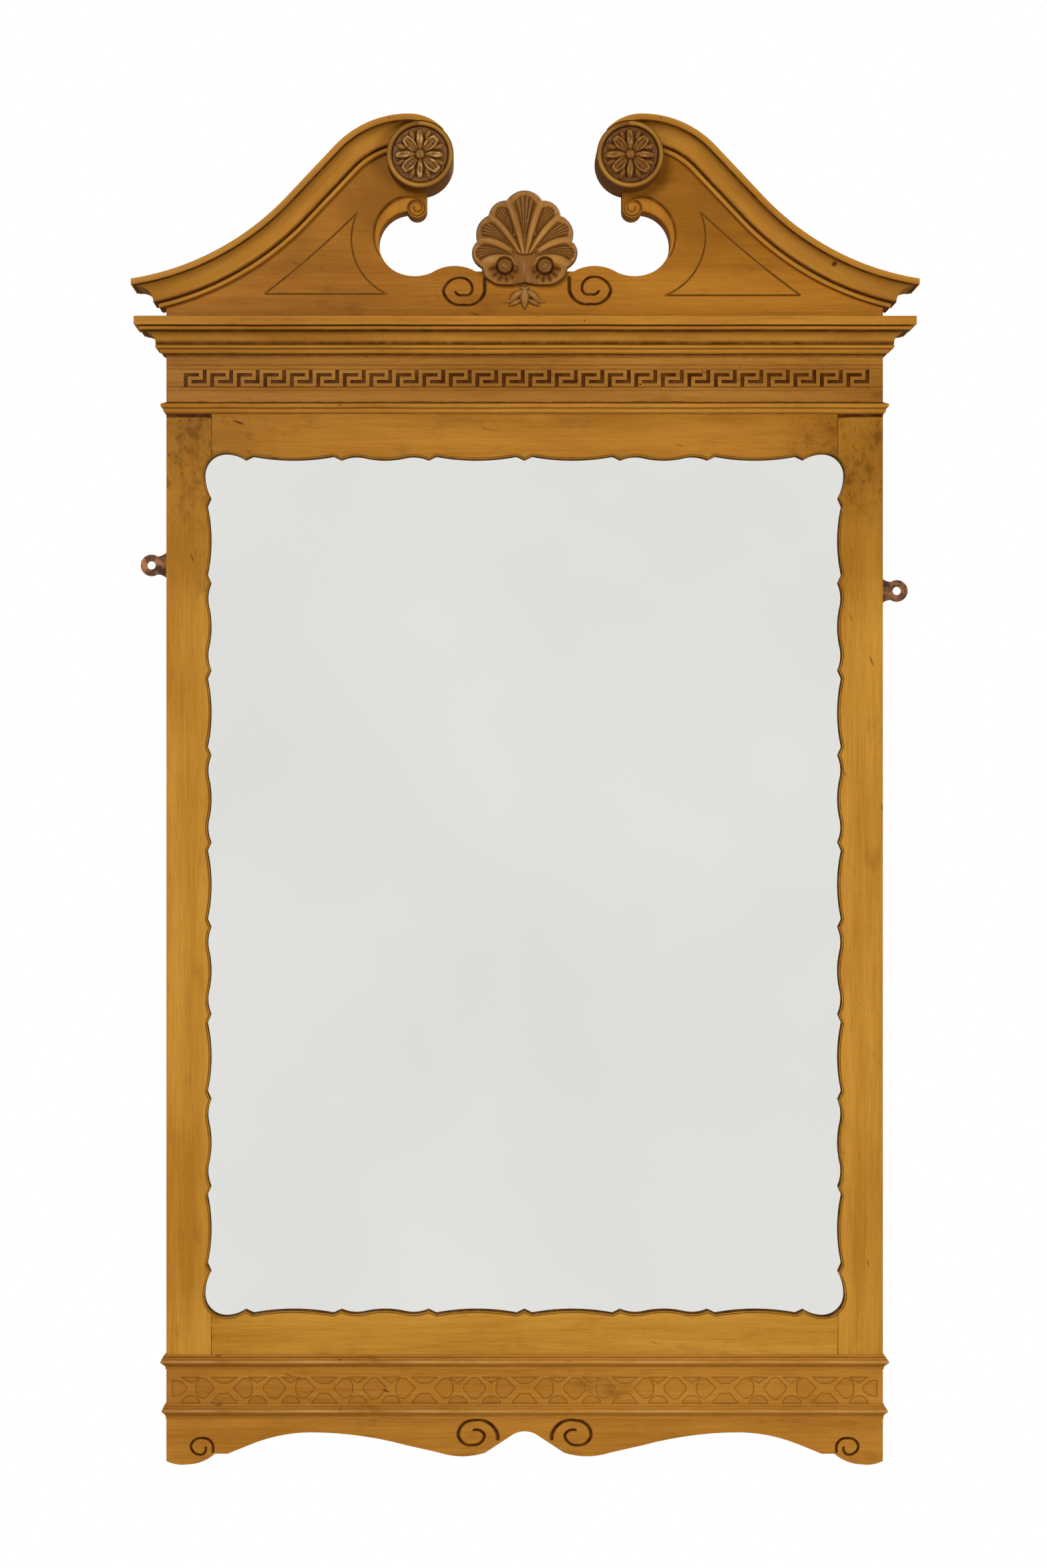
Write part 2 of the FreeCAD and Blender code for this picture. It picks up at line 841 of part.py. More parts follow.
def make_glass_blocks():
    """Glue blocks in the rebate, between the glass and the backboards."""
    piece = Piece("glass_blocks")
    half = S.block_length / 2
    loops = []
    for level in (-S.block_spread_high, sized(0), S.block_spread_high):
        upright = rectangle(-glass_half, level - half, S.block_width - glass_half, level + half)
        loops += [upright, flipped(upright)]
    for middle in (-S.block_spread_wide, S.block_spread_wide):
        flat = rectangle(middle - half, glass_rise - S.block_width, middle + half, glass_rise)
        loops += [flat, overturned(flat)]
    back = S.board_thickness - S.lip_thickness - S.glass_thickness
    piece.board(loops, back - S.backboard_thickness, S.backboard_thickness)


def stile_nails():
    """Places of the nails that hold the left backboard to its stile."""
    across = -(glass_half + S.backboard_ledge / 2)
    return [(across, level) for level in (-S.nail_spacing, sized(0), S.nail_spacing)]


def rail_nails(level):
    """Places of the nails that hold the three backboards to a rail."""
    up = glass_rise + S.backboard_ledge / 2
    up = up if level == "top" else -up
    board = (rebate_half * 2 - S.centre_backboard) / 4 + S.centre_backboard / 2
    half = S.nail_spread / 2
    places = []
    for middle in (-board, sized(0), board):
        places += [(middle - half, up), (middle + half, up)]
    return places


def square(across, up, half):
    return rectangle(across - half, up - half, across + half, up + half)


def nail_holes(places):
    half = S.nail_half + S.fastener_clearance
    return [square(across, up, half) for across, up in places]


def backboard_nail_places(name):
    """Places of the nails through one backboard."""
    places = rail_nails("top") + rail_nails("bottom")
    first = {"left": 0, "centre": 2, "right": 4}[name]
    chosen = places[first : first + 2] + places[first + 6 : first + 8]
    if name == "left":
        chosen += stile_nails()
    if name == "right":
        chosen += [(-across, up) for across, up in stile_nails()]
    return chosen


def make_backboard(name):
    piece = Piece(f"{name}_backboard")
    gap = S.backboard_gap
    up = rebate_rise - gap / 2
    inner = S.centre_backboard / 2
    if name == "centre":
        piece.board([rectangle(-inner, -up, inner, up)], S.backboard_thickness)
    else:
        blank = rectangle(gap / 2 - rebate_half, -up, -(inner + gap), up)
        piece.board(sided(name, [blank]), S.backboard_thickness)
    places = backboard_nail_places(name)
    piece.cut_back(nail_holes(places), S.backboard_thickness)
    heads = [square(across, up, S.nail_head_half + S.fastener_clearance) for across, up in places]
    piece.cut_back(heads, S.nail_head_height)


def make_fasteners(label, places, section, shank, length, head, head_height):
    """A set of equal nails or screws driven from the back, each a separate solid."""
    piece = Piece(label)
    piece.board([section(across, up, shank) for across, up in places], length)
    piece.board([section(across, up, head) for across, up in places], head_height)


# Battens housed in the back


def batten_span(level):
    """Lower and upper end of the battens at the top or the bottom."""
    inner = half_height - S.batten_clear
    if level == "top":
        return inner, cornice_top + S.upper_batten_rise
    return -(fret_foot + S.lower_batten_fall), -inner


def batten_middle(level):
    return S.upper_batten_spread if level == "top" else S.lower_batten_spread


def batten_screw_levels(level):
    """A screw into each board that a batten joins."""
    low, high = batten_span(level)
    if level == "top":
        frieze = half_height + S.key_frieze_height / 2
        return [low + S.screw_inset, frieze, key_top + S.screw_inset, high - S.screw_inset]
    frieze = -(half_height + S.fret_frieze_height / 2)
    return [high - S.screw_inset, frieze, low + S.screw_inset]


def batten_screw_places(level):
    middle = batten_middle(level)
    places = []
    for up in batten_screw_levels(level):
        places += [(-middle, up), (middle, up)]
    return places


def cut_for_battens(piece, level):
    """Housings for the battens that cross a board, and pilot holes for their screws."""
    bottom, top = batten_span(level)
    half = S.batten_width / 2 + S.joint_clearance
    middle = batten_middle(level)
    housing = rectangle(
        -(middle + half), bottom - S.joint_clearance, half - middle, top + S.joint_clearance
    )
    piece.cut_back([housing, flipped(housing)], S.batten_thickness)
    radius = S.screw_radius + S.fastener_clearance
    holes = [Circle(across, up, radius) for across, up in batten_screw_places(level)]
    piece.cut_back(holes, S.screw_length + S.joint_clearance)


def make_batten(level, side):
    name = {"top": "upper", "bottom": "lower"}[level]
    piece = Piece(f"{side}_{name}_batten")
    low, high = batten_span(level)
    half = S.batten_width / 2
    middle = batten_middle(level)
    piece.board(sided(side, [rectangle(-(middle + half), low, half - middle, high)]), S.batten_thickness)
    levels = batten_screw_levels(level)
    shanks = [Circle(-middle, up, S.screw_radius + S.fastener_clearance) for up in levels]
    piece.cut_back(sided(side, shanks), S.batten_thickness)
    heads = [Circle(-middle, up, S.screw_head_radius + S.fastener_clearance) for up in levels]
    piece.cut_back(sided(side, heads), S.screw_head_height)


# Wall plates


def plate_level(side):
    drop = S.left_plate_drop if side == "left" else S.right_plate_drop
    return half_height - drop


def plate_base(side):
    """Foot of the wall plate, let into the back of the left stile."""
    level = plate_level(side)
    half = S.plate_base_height / 2
    return rectangle(-half_width, level - half, S.plate_base_width - half_width, level + half)


def plate_screw_places(side):
    across = S.plate_base_width / 2 - half_width
    level = plate_level(side)
    half = S.plate_screw_spread / 2
    return [(across, level - half), (across, level + half)]


def plate_screw_holes(side):
    radius = S.plate_screw_radius + S.fastener_clearance
    return [Circle(across, up, radius) for across, up in plate_screw_places(side)]


def make_wall_plate(side):
    """A flat plate with a foot behind the stile, a neck and a round ear with a screw hole."""
    piece = Piece(f"{side}_wall_plate")
    level = plate_level(side)
    inner = S.plate_base_width - half_width
    foot = S.plate_base_height / 2
    flare = S.plate_flare / 2
    neck = S.plate_neck / 2
    shoulder = root(S.ear_radius * S.ear_radius - neck * neck)
    ear = -(half_width + S.ear_offset)
    round_ear = (S.ear_radius + shoulder) / neck
    outline = [
        (inner, level - foot),
        (inner, level + foot),
        (-half_width, level + foot),
        (-half_width, level + flare, PLATE_FLARE),
        (ear + shoulder, level + neck, -round_ear),
        (ear + shoulder, level - neck, PLATE_FLARE),
        (-half_width, level - flare),
        (-half_width, level - foot),
    ]
    piece.board(sided(side, [outline]), S.plate_thickness)
    piece.cut_back(sided(side, [Circle(ear, level, S.ear_hole_radius)]), S.plate_thickness)
    piece.cut_back(sided(side, plate_screw_holes(side)), S.plate_thickness)
    heads = []
    for across, up in plate_screw_places(side):
        heads.append(Circle(across, up, S.plate_screw_head + S.fastener_clearance))
    piece.cut_back(sided(side, heads), S.plate_screw_head_height)


# Mouldings: each section lists (projection, height above its foot, bend)


def cornice_section():
    top = S.cornice_height
    bead_top = top - S.corona_height - S.quirk
    bead_foot = bead_top - S.cornice_bead
    return [
        (sized(0), top),
        (S.cornice_projection, top),
        (S.cornice_projection, top - S.corona_height),
        (S.cornice_bead_seat, top - S.corona_height),
        (S.cornice_bead_seat, bead_top, 1),
        (S.cornice_bead_seat, bead_foot),
        (S.cove_top, bead_foot),
        (S.cove_top, bead_foot - S.quirk, CORNICE_COVE),
        (S.cove_foot, S.quirk),
        (S.cove_foot, sized(0)),
        (sized(0), sized(0)),
    ]


def bed_section():
    top = S.bed_height
    seat = S.bed_projection - S.bed_bead / 2
    step = seat - S.bed_bead / 2
    return [
        (sized(0), top),
        (seat, top, 1),
        (seat, top - S.bed_bead),
        (step, top - S.bed_bead),
        (step, top - S.bed_bead - S.quirk, BED_OVOLO),
        (S.bed_foot, S.quirk),
        (S.bed_foot, sized(0)),
        (sized(0), sized(0)),
    ]


def astragal_section():
    top = S.astragal_height
    seat = S.astragal_projection - S.astragal_bead / 2
    bead_foot = top - S.quirk - S.astragal_bead
    return [
        (sized(0), top),
        (S.astragal_fillet, top),
        (S.astragal_fillet, top - S.quirk),
        (seat, top - S.quirk, 1),
        (seat, bead_foot),
        (S.astragal_step, bead_foot),
        (S.astragal_step, bead_foot - S.quirk, ASTRAGAL_OVOLO),
        (S.astragal_foot, S.quirk),
        (S.astragal_foot, sized(0)),
        (sized(0), sized(0)),
    ]


def fret_bead_section(projection):
    top = S.fret_bead_height
    seat = projection - S.fret_bead_round / 2
    bead_top = top - S.fret_bead_fillet
    bead_foot = bead_top - S.fret_bead_round
    return [
        (sized(0), top),
        (projection * BEAD_EDGE_SHARE, top),
        (projection * BEAD_EDGE_SHARE, top - S.fret_bead_fillet / 2),
        (seat, top - S.fret_bead_fillet / 2 - S.quirk),
        (seat, bead_top, 1),
        (seat, bead_foot),
        (seat, bead_foot - S.quirk, BEAD_COVE),
        (projection * BEAD_FOOT_SHARE, S.quirk),
        (projection * BEAD_FOOT_SHARE, sized(0)),
        (sized(0), sized(0)),
    ]


def mitre_cut(piece, corners):
    """Cut an upright prism, drawn in plan, out of a moulding's ends."""
    drawing = piece.sketch("XY_Plane", corners)
    piece.pocket(drawing, S.frame_height * 3, both=True)


def front_mitre(reach):
    """Plan of what the left mitre takes off a front length."""
    front = -S.board_thickness
    return [(-half_width, front), (-half_width - reach, front), (-half_width - reach, front - reach)]


def return_mitre(reach):
    """Plan of what the mitre takes off a left return."""
    front = -S.board_thickness
    return [(-half_width, front), (-half_width - reach, front - reach), (-half_width, front - reach)]


def make_moulding(name, section, foot, projection):
    """A moulding in three mitred lengths: along the front, and back to the wall on each side."""
    front = Piece(f"{name}_front")
    outline = []
    for corner in section:
        outline.append((-S.board_thickness - corner[0], foot + corner[1], -sized(bend_of(corner))))
    reach = projection + S.joint_clearance
    front.pad(front.sketch("YZ_Plane", [outline]), (half_width + reach) * 2, both=True)
    plan = front_mitre(reach)
    mitre_cut(front, [plan, flipped(plan)])
    for side in ("left", "right"):
        back = Piece(f"{side}_{name}_return")
        outline = []
        for corner in section:
            outline.append((-half_width - corner[0], foot + corner[1], -sized(bend_of(corner))))
        back.board(sided(side, [outline]), S.board_thickness + reach)
        mitre_cut(back, sided(side, [return_mitre(reach)]))


# Swan-neck pediment: the moulding follows sweep, straight run, crown and tail

sweep_x = -(
    half_width + S.neck_projection + S.neck_tip_margin + S.neck_sweep_radius * sine(S.neck_tip_slope)
)
sweep_gap = -sweep_x - half_width
sweep_z = (
    cornice_top + S.neck_tip_rise + root(S.neck_sweep_radius * S.neck_sweep_radius - sweep_gap * sweep_gap)
)
crown_x = -(S.rosette_spacing / 2 + S.neck_crown_offset)
run_start_x = sweep_x + S.neck_sweep_radius * sine(S.neck_slope)
run_start_z = sweep_z - S.neck_sweep_radius * cosine(S.neck_slope)
run_end_x = crown_x - S.neck_crown_radius * sine(S.neck_slope)
run_end_z = run_start_z + (run_end_x - run_start_x) * sine(S.neck_slope) / cosine(S.neck_slope)
crown_z = run_end_z - S.neck_crown_radius * cosine(S.neck_slope)
crest_z = crown_z + S.neck_crown_radius
drum_x = -(S.rosette_spacing / 2)
drum_z = crest_z - S.crest_cover - S.drum_radius
tail_radius = (
    S.neck_crown_offset * S.neck_crown_offset
    + (S.crest_cover + S.drum_radius) * (S.crest_cover + S.drum_radius)
    - S.drum_radius * S.drum_radius
) / (S.crest_cover * 2)
neck_width = S.neck_fillet + S.quirk + S.neck_cove_height + S.quirk + S.rope_radius * 2


def sweep_point(inset, angle):
    radius = S.neck_sweep_radius + inset
    return sweep_x + radius * sine(angle), sweep_z - radius * cosine(angle)


def crown_point(inset):
    radius = S.neck_crown_radius - inset
    return crown_x - radius * sine(S.neck_slope), crown_z + radius * cosine(S.neck_slope)


def neck_path(inset):
    """The left neck's line from its tail round the rosette, over the crown and down to the tip."""
    tail = (crown_x + tail_radius - inset, crest_z - tail_radius)
    crest = (crown_x, crest_z - inset)
    run_end = crown_point(inset)
    run_start = sweep_point(inset, S.neck_slope)
    tip = sweep_point(inset, S.neck_tip_slope)
    crown_bend = arc_bend(crest, run_end, S.neck_crown_radius - inset)
    sweep_bend = arc_bend(run_start, tip, S.neck_sweep_radius + inset)
    return [
        (tail[0], tail[1], -QUARTER_BEND),
        (crest[0], crest[1], -crown_bend),
        run_end,
        (run_start[0], run_start[1], sweep_bend),
        tip,
    ]


def neck_section():
    """Section of the neck moulding as (projection, distance in from its outer edge, bend)."""
    cove_top = S.neck_fillet + S.quirk
    cove_foot = cove_top + S.neck_cove_height
    return [
        (sized(0), sized(0)),
        (S.neck_projection, sized(0)),
        (S.neck_projection, S.neck_fillet),
        (S.neck_cove_top, S.neck_fillet),
        (S.neck_cove_top, cove_top, NECK_COVE),
        (S.neck_cove_foot, cove_foot),
        (S.neck_seat, cove_foot),
        (S.neck_seat, neck_width),
        (sized(0), neck_width),
    ]


def rope_section():
    """Half-round section of the rope bead on its seat."""
    start = neck_width - S.rope_radius * 2
    return [(S.neck_seat, start, 1), (S.neck_seat, neck_width)]


def sweep_level(projection, inset):
    """Height of the left neck's surface where the mitre crosses it."""
    radius = S.neck_sweep_radius + inset
    reach = sweep_gap - projection
    return sweep_z - root(radius * radius - reach * reach)


def sweep_along_neck(piece, side, section):
    """Draw the section across the tail and sweep it along the neck."""
    start = crown_x + tail_radius
    outline = []
    for corner in section:
        outline.append((start - corner[1], -S.board_thickness - corner[0], bend_of(corner)))
    profile = piece.sketch("XY_Plane", sided(side, [outline]), crest_z - tail_radius)
    corners = neck_path(sized(0))
    if side == "right":
        corners = flipped(corners)
    spine = piece.path("XZ_Plane", corners, S.board_thickness)
    piece.pipe(profile, spine)


def cut_for_drum(piece, side, depth):
    piece.cut_back(sided(side, [Circle(drum_x, drum_z, S.drum_radius)]), depth)


def make_swan_neck(side):
    depth = S.board_thickness + S.neck_projection
    piece = Piece(f"{side}_swan_neck")
    sweep_along_neck(piece, side, neck_section())
    cut_for_drum(piece, side, depth)
    tail_end = drum_x + S.drum_radius * TAIL_SHARE
    tail = rectangle(tail_end, drum_z - S.drum_radius, tail_end + S.drum_radius, crest_z)
    piece.cut_back(sided(side, [tail]), depth)
    mitre_cut(piece, sided(side, [front_mitre(S.neck_projection + S.neck_tip_margin)]))
    rope = Piece(f"{side}_rope_bead")
    sweep_along_neck(rope, side, rope_section())
    cut_for_drum(rope, side, depth)
    mitre_cut(rope, sided(side, [front_mitre(S.neck_projection + S.neck_tip_margin)]))


def make_neck_return(side):
    """Side return of the neck, whose section meets the swept moulding on the mitre."""
    piece = Piece(f"{side}_neck_return")
    section = neck_section()[:-2] + rope_section() + [(sized(0), neck_width)]
    outline = []
    for corner in section:
        level = sweep_level(corner[0], corner[1])
        outline.append((-half_width - corner[0], level, -sized(bend_of(corner))))
    reach = S.neck_projection + S.joint_clearance
    piece.board(sided(side, [outline]), S.board_thickness + reach)
    mitre_cut(piece, sided(side, [return_mitre(reach)]))


# Friezes


def key_slots():
    """Two sunk hooks of one meander unit, on a grid of seven columns and five rows."""
    column = key_pitch / 7
    row = S.key_strip / 5
    left = -(key_pitch * S.key_count / 2)
    foot = half_height + S.key_rise - S.key_strip / 2
    rising = [(1, 0), (2, 0), (2, 3), (5, 3), (5, 4), (1, 4)]
    falling = [(3, 1), (7, 1), (7, 5), (6, 5), (6, 2), (3, 2)]
    hooks = []
    for cells in (rising, falling):
        hooks.append([(left + column * across, foot + row * up) for across, up in cells])
    return hooks


def make_key_frieze():
    piece = Piece("key_frieze")
    piece.board([rectangle(-half_width, half_height, half_width, key_top)], S.board_thickness)
    cut_for_battens(piece, "top")
    front = -S.board_thickness
    strip_top = half_height + S.key_rise + S.key_strip / 2
    strip_foot = strip_top - S.key_strip
    upper = [(front, strip_top), (front + S.bevel_depth, strip_top), (front, strip_top + S.bevel_height)]
    lower = [(front, strip_foot), (front, strip_foot - S.bevel_height), (front + S.bevel_depth, strip_foot)]
    bevels = piece.sketch("YZ_Plane", [upper, lower])
    piece.pocket(bevels, key_pitch * S.key_count, both=True)
    drawing = piece.sketch("XZ_Plane", key_slots(), S.board_thickness)
    hooks = piece.pocket(drawing, S.key_depth)
    piece.repeat_along(hooks, drawing, key_pitch * (S.key_count - 1), S.key_count)


def fret_tie_cells(middle, axis):
    """Sunk cells round one tie of the blind fret, for its left half and right half alike."""
    top = axis + S.fret_top
    foot = axis - S.fret_bottom
    left = middle - S.fret_wide_half
    right = middle + S.fret_wide_half
    strap = S.fret_strap
    cells = [
        [(left, top), (right, top), (middle + strap, axis + strap), (middle - strap, axis + strap)],
        [(left, foot), (right, foot), (middle + strap, axis - strap), (middle - strap, axis - strap)],
    ]
    narrow = S.fret_narrow_half
    for side in (-1, 1):
        cross = middle + fret_tie_gap * side
        cells.append([(cross - narrow, top), (cross + narrow, top), (cross, axis + strap)])
        cells.append([(cross - narrow, foot, FRET_ARCH), (cross + narrow, foot)])
        near = middle + strap * FRET_NEAR_SHARE * side
        far = middle + (fret_tie_gap - strap) * side
        swell = (near + far) / 2
        lens = FRET_LENS * side
        high = (swell, axis + S.fret_cell_rise, lens)
        low = (swell, axis - S.fret_cell_rise)
        cells.append([(near, axis), high, (far, axis, lens), low])
    return cells


def fret_quatrefoil(middle, axis):
    """A four-lobed cell between two crossings."""
    reach = S.fret_cell_reach
    rise = S.fret_cell_rise
    waist_x = reach * FOIL_WAIST_SHARE
    waist_z = rise * FOIL_WAIST_SHARE
    return [
        (middle - waist_x, axis - waist_z, FOIL_LOBE),
        (middle - waist_x, axis + waist_z, FOIL_LOBE),
        (middle + waist_x, axis + waist_z, FOIL_LOBE),
        (middle + waist_x, axis - waist_z, FOIL_LOBE),
    ]


def make_fret_frieze():
    piece = Piece("fret_frieze")
    piece.board([rectangle(-half_width, -fret_foot, half_width, -half_height)], S.board_thickness)
    cut_for_battens(piece, "bottom")
    axis = -(half_height + S.fret_axis)
    run = fret_period * (S.fret_count - 1)
    outer = S.fret_end_gap - half_width
    inner = -(run / 2) - fret_period / 2 + S.fret_cell_reach
    end_cell = [(outer, axis - S.fret_cell_rise), (inner, axis, 0), (outer, axis + S.fret_cell_rise)]
    piece.cut_front([end_cell, flipped(end_cell)], S.fret_depth, S.board_thickness)
    drawing = piece.sketch("XZ_Plane", [fret_quatrefoil((fret_period - run) / 2, axis)], S.board_thickness)
    cell = piece.pocket(drawing, S.fret_depth)
    piece.repeat_along(cell, drawing, run - fret_period, S.fret_count - 1)
    drawing = piece.sketch("XZ_Plane", fret_tie_cells(-(run / 2), axis), S.board_thickness)
    ties = piece.pocket(drawing, S.fret_depth)
    piece.repeat_along(ties, drawing, run, S.fret_count)


# Incised lines


def volute(middle, level, reaches, lead, spin):
    """An incised scroll: quarter arcs at the given reaches to the right, down, left, up and so on.

    A spin of 1 starts downwards from the right, and -1 starts upwards. A straight lead comes first.
    """
    turns = ((1, 0), (0, -spin), (-1, 0), (0, spin))
    half = S.groove_width / 2
    outer = []
    inner = []
    for index, reach in enumerate(reaches):
        across, up = turns[index % 4]
        outer.append((middle + (reach + half) * across, level + (reach + half) * up, QUARTER_BEND * spin))
        inner.append((middle + (reach - half) * across, level + (reach - half) * up, -QUARTER_BEND * spin))
    outer[-1] = outer[-1][:2]
    outer.insert(0, (outer[0][0], level + lead * spin))
    inner.insert(0, (inner[0][0], level + lead * spin))
    return outer + close_back(inner)


def close_back(corners):
    """The corners in reverse order, each run with the bend that it had."""
    turned = []
    for index in range(len(corners) - 1, -1, -1):
        bend = bend_of(corners[index - 1]) if index else 0
        turned.append((corners[index][0], corners[index][1], bend))
    return turned


def channel(start, end, width, bend=0):
    """An incised line from one point to another."""
    across = end[0] - start[0]
    up = end[1] - start[1]
    length = root(across * across + up * up)
    side = width / 2 / length
    left = -(up * side)
    rise = across * side
    return [
        (start[0] + left, start[1] + rise, bend),
        (end[0] + left, end[1] + rise),
        (end[0] - left, end[1] - rise, -sized(bend)),
        (start[0] - left, start[1] - rise),
    ]


def incise(piece, loop):
    """Cut an incised line and its mirror image into the front of a board."""
    piece.cut_front([loop, flipped(loop)], S.groove_depth, S.board_thickness)


# Apron


def apron_outline():
    foot = -foot_level
    return with_mirror(
        [
            (-half_width, -fret_foot),
            (-half_width, foot + S.foot_lift, FOOT_TOE),
            (S.foot_low - half_width, foot, FOOT_HEEL),
            (S.foot_width - half_width, foot + S.foot_rise),
            (S.foot_width + S.foot_step - half_width, foot + S.foot_rise),
            (S.arch_start - half_width, foot + S.arch_start_rise, ARCH_START),
            (S.arch_crest - half_width, foot + S.arch_crest_rise, ARCH_CREST),
            (-S.arch_fall, foot + S.arch_fall_rise),
            (-S.drop_outer, foot + S.drop_rise, DROP_SAG),
            (-S.drop_inner, foot + S.drop_rise),
            (-S.peak_half, foot + S.peak_shoulder, PEAK_LOBE),
        ]
    )


def make_apron():
    piece = Piece("apron")
    piece.board([apron_outline()], S.board_thickness)
    cut_for_battens(piece, "bottom")
    reach = S.foot_scroll_reach
    ring = S.foot_scroll_round
    reaches = [reach, ring, reach, ring, S.foot_scroll_eye]
    middle = S.foot_scroll_in - half_width
    incise(piece, volute(middle, S.foot_scroll_rise - foot_level, reaches, S.foot_scroll_lead, -1))
    ring = S.drop_scroll_round
    reaches = [S.drop_scroll_reach, ring, ring, S.drop_scroll_low, S.drop_scroll_eye, S.drop_scroll_end]
    incise(piece, volute(-S.drop_scroll_out, S.drop_scroll_rise - foot_level, reaches, S.drop_scroll_lead, -1))


# Pediment board


def pediment_outline():
    inset = S.board_setback
    run_start = sweep_point(inset, S.neck_slope)
    run_end = crown_point(inset)
    crest = (crown_x, crest_z - inset)
    shoulder = (-half_width, sweep_level(sized(0), inset))
    sweep_bend = arc_bend(shoulder, run_start, S.neck_sweep_radius + inset)
    crown_bend = arc_bend(run_end, crest, S.neck_crown_radius - inset)
    edge = drum_x + S.neck_edge
    curl_z = drum_z - S.curl_drop
    curl_x = edge - S.curl_radius
    tongue_swell = (S.tongue_top - S.tongue_shoulder) / S.tongue_half
    return with_mirror(
        [
            (-half_width, key_top),
            (shoulder[0], shoulder[1], -sweep_bend),
            run_start,
            (run_end[0], run_end[1], crown_bend),
            crest,
            (edge, drum_z),
            (edge, curl_z, CURL_END),
            (curl_x - S.curl_radius * CURL_OUT_SHARE, curl_z - S.curl_radius * CURL_DROP_SHARE, CUT_SIDE),
            (-S.cut_out, cornice_top + S.cut_rise, CUT_FLOOR),
            (-S.floor_in, cornice_top + S.floor_rise, CUT_HUMP),
            (-S.hump_in, cornice_top + S.hump_rise),
            (-S.tongue_half, cornice_top + S.hump_rise),
            (-S.tongue_half, cornice_top + S.tongue_shoulder, tongue_swell),
        ]
    )


def panel_corners(side):
    """Apex, outer corner and inner corner of the incised panel; the two sides were marked out by eye."""
    if side == "left":
        apex = (-S.left_panel_apex, cornice_top + S.left_panel_rise)
        base = cornice_top + S.left_panel_base
        return apex, (-S.left_panel_outer, base), (-S.left_panel_inner, base)
    apex = (-S.right_panel_apex, cornice_top + S.right_panel_rise)
    base = cornice_top + S.right_panel_base
    return apex, (-S.right_panel_outer, base), (-S.right_panel_inner, base)


def panel_lines(side):
    """The three incised lines of a panel, as drawn on the left half."""
    apex, outer, inner = panel_corners(side)
    return [
        channel(apex, outer, S.panel_line, PANEL_BOW),
        channel(outer, inner, S.panel_line),
        channel(apex, inner, S.panel_line, PANEL_HOLLOW),
    ]


def centre_scroll(side):
    """The scroll beside the shell, as drawn on the left half."""
    out = S.left_scroll_out if side == "left" else S.right_scroll_out
    rise = S.left_scroll_rise if side == "left" else S.right_scroll_rise
    reach = S.scroll_reach
    drop = S.scroll_drop
    share = SCROLL_TURN_SHARE
    reaches = [reach, drop, reach * share, drop * share, S.scroll_eye, S.scroll_eye_drop, S.scroll_eye]
    return volute(-out, cornice_top + rise, reaches, S.scroll_lead, 1)


def make_pediment_board():
    piece = Piece("pediment_board")
    piece.board([pediment_outline()], S.board_thickness)
    for side in ("left", "right"):
        cut_for_drum(piece, side, S.board_thickness)
    cut_for_battens(piece, "top")
    for side in ("left", "right"):
        for line in panel_lines(side) + [centre_scroll(side)]:
            piece.cut_front(sided(side, [line]), S.groove_depth, S.board_thickness)
    band_start = (-S.band_start_out, cornice_top + S.band_start_rise)
    band_top = (-S.band_top_out, cornice_top + S.band_top_rise)
    band_end = (-S.band_end_out, cornice_top + S.band_end_rise)
    curl_line = (-S.curl_line_out, cornice_top + S.curl_line_rise)
    incise(piece, channel(band_start, band_top, S.groove_width, BAND_SWELL))
    incise(piece, channel(band_top, band_end, S.groove_width, BAND_CREST))
    incise(piece, channel(curl_line, band_end, S.groove_width, BAND_SWELL))


# Rosettes


def put_on_drum_axis(piece, side):
    middle = drum_x if side == "left" else -drum_x
    piece.body.setExpression("Placement.Base.x", middle.text)
    piece.body.setExpression("Placement.Base.z", drum_z.text)


def make_drum(side):
    """A turned drum with a rounded rim and a flat recess."""
    piece = Piece(f"{side}_rosette_drum")
    put_on_drum_axis(piece, side)
    front = -(S.board_thickness + S.drum_projection)
    floor = front + S.drum_recess
    lip = S.drum_radius - S.drum_rim
    profile = [
        (sized(0), sized(0)),
        (sized(0), S.drum_radius),
        (front + S.drum_round, S.drum_radius, -QUARTER_BEND),
        (front, S.drum_radius - S.drum_round),
        (front, lip + S.drum_round, -QUARTER_BEND),
        (front + S.drum_round, lip),
        (floor, lip),
        (floor, sized(0)),
    ]
    piece.turned(piece.sketch("YZ_Plane", [profile]), "H_Axis")


def make_flower(side):
    """A carved flower in the drum's recess: broad petals, leaf tips between them, and a boss."""
    piece = Piece(f"{side}_rosette_flower")
    put_on_drum_axis(piece, side)
    floor = S.board_thickness + S.drum_projection - S.drum_recess
    radius = S.drum_radius - S.drum_rim - S.flower_clearance
    piece.board([Circle(0, 0, radius)], S.flower_base, floor)
    top = floor + S.flower_base
    piece.board([Circle(0, 0, S.boss_radius)], S.boss_height, top)
    half_step = 180 / S.petal_count
    leaf_ends = (S.petal_inner, radius - S.flower_clearance)
    leaf = piece.swelling((0, 0), half_step, leaf_ends, S.leaf_half, S.leaf_half, top)
    piece.repeat_round(leaf, S.petal_count)
    petal_ends = (S.petal_inner, S.petal_reach)
    petal = piece.swelling((0, 0), 0, petal_ends, S.petal_half, S.petal_half, top)
    piece.repeat_round(petal, S.petal_count)
    piece.cut_back([Circle(0, 0, S.drum_radius)], floor)


# Shell and husk drop

# Notches of the shell's rim, as degrees from upright and the swell of the lobe above each
SHELL_NOTCHES = ((98.9, 0.55), (67.7, 0.4), (38.7, 0.41), (17.2, 0.55))
SHELL_RIBS = (0.0, 28.5, 53.5, 83.0)


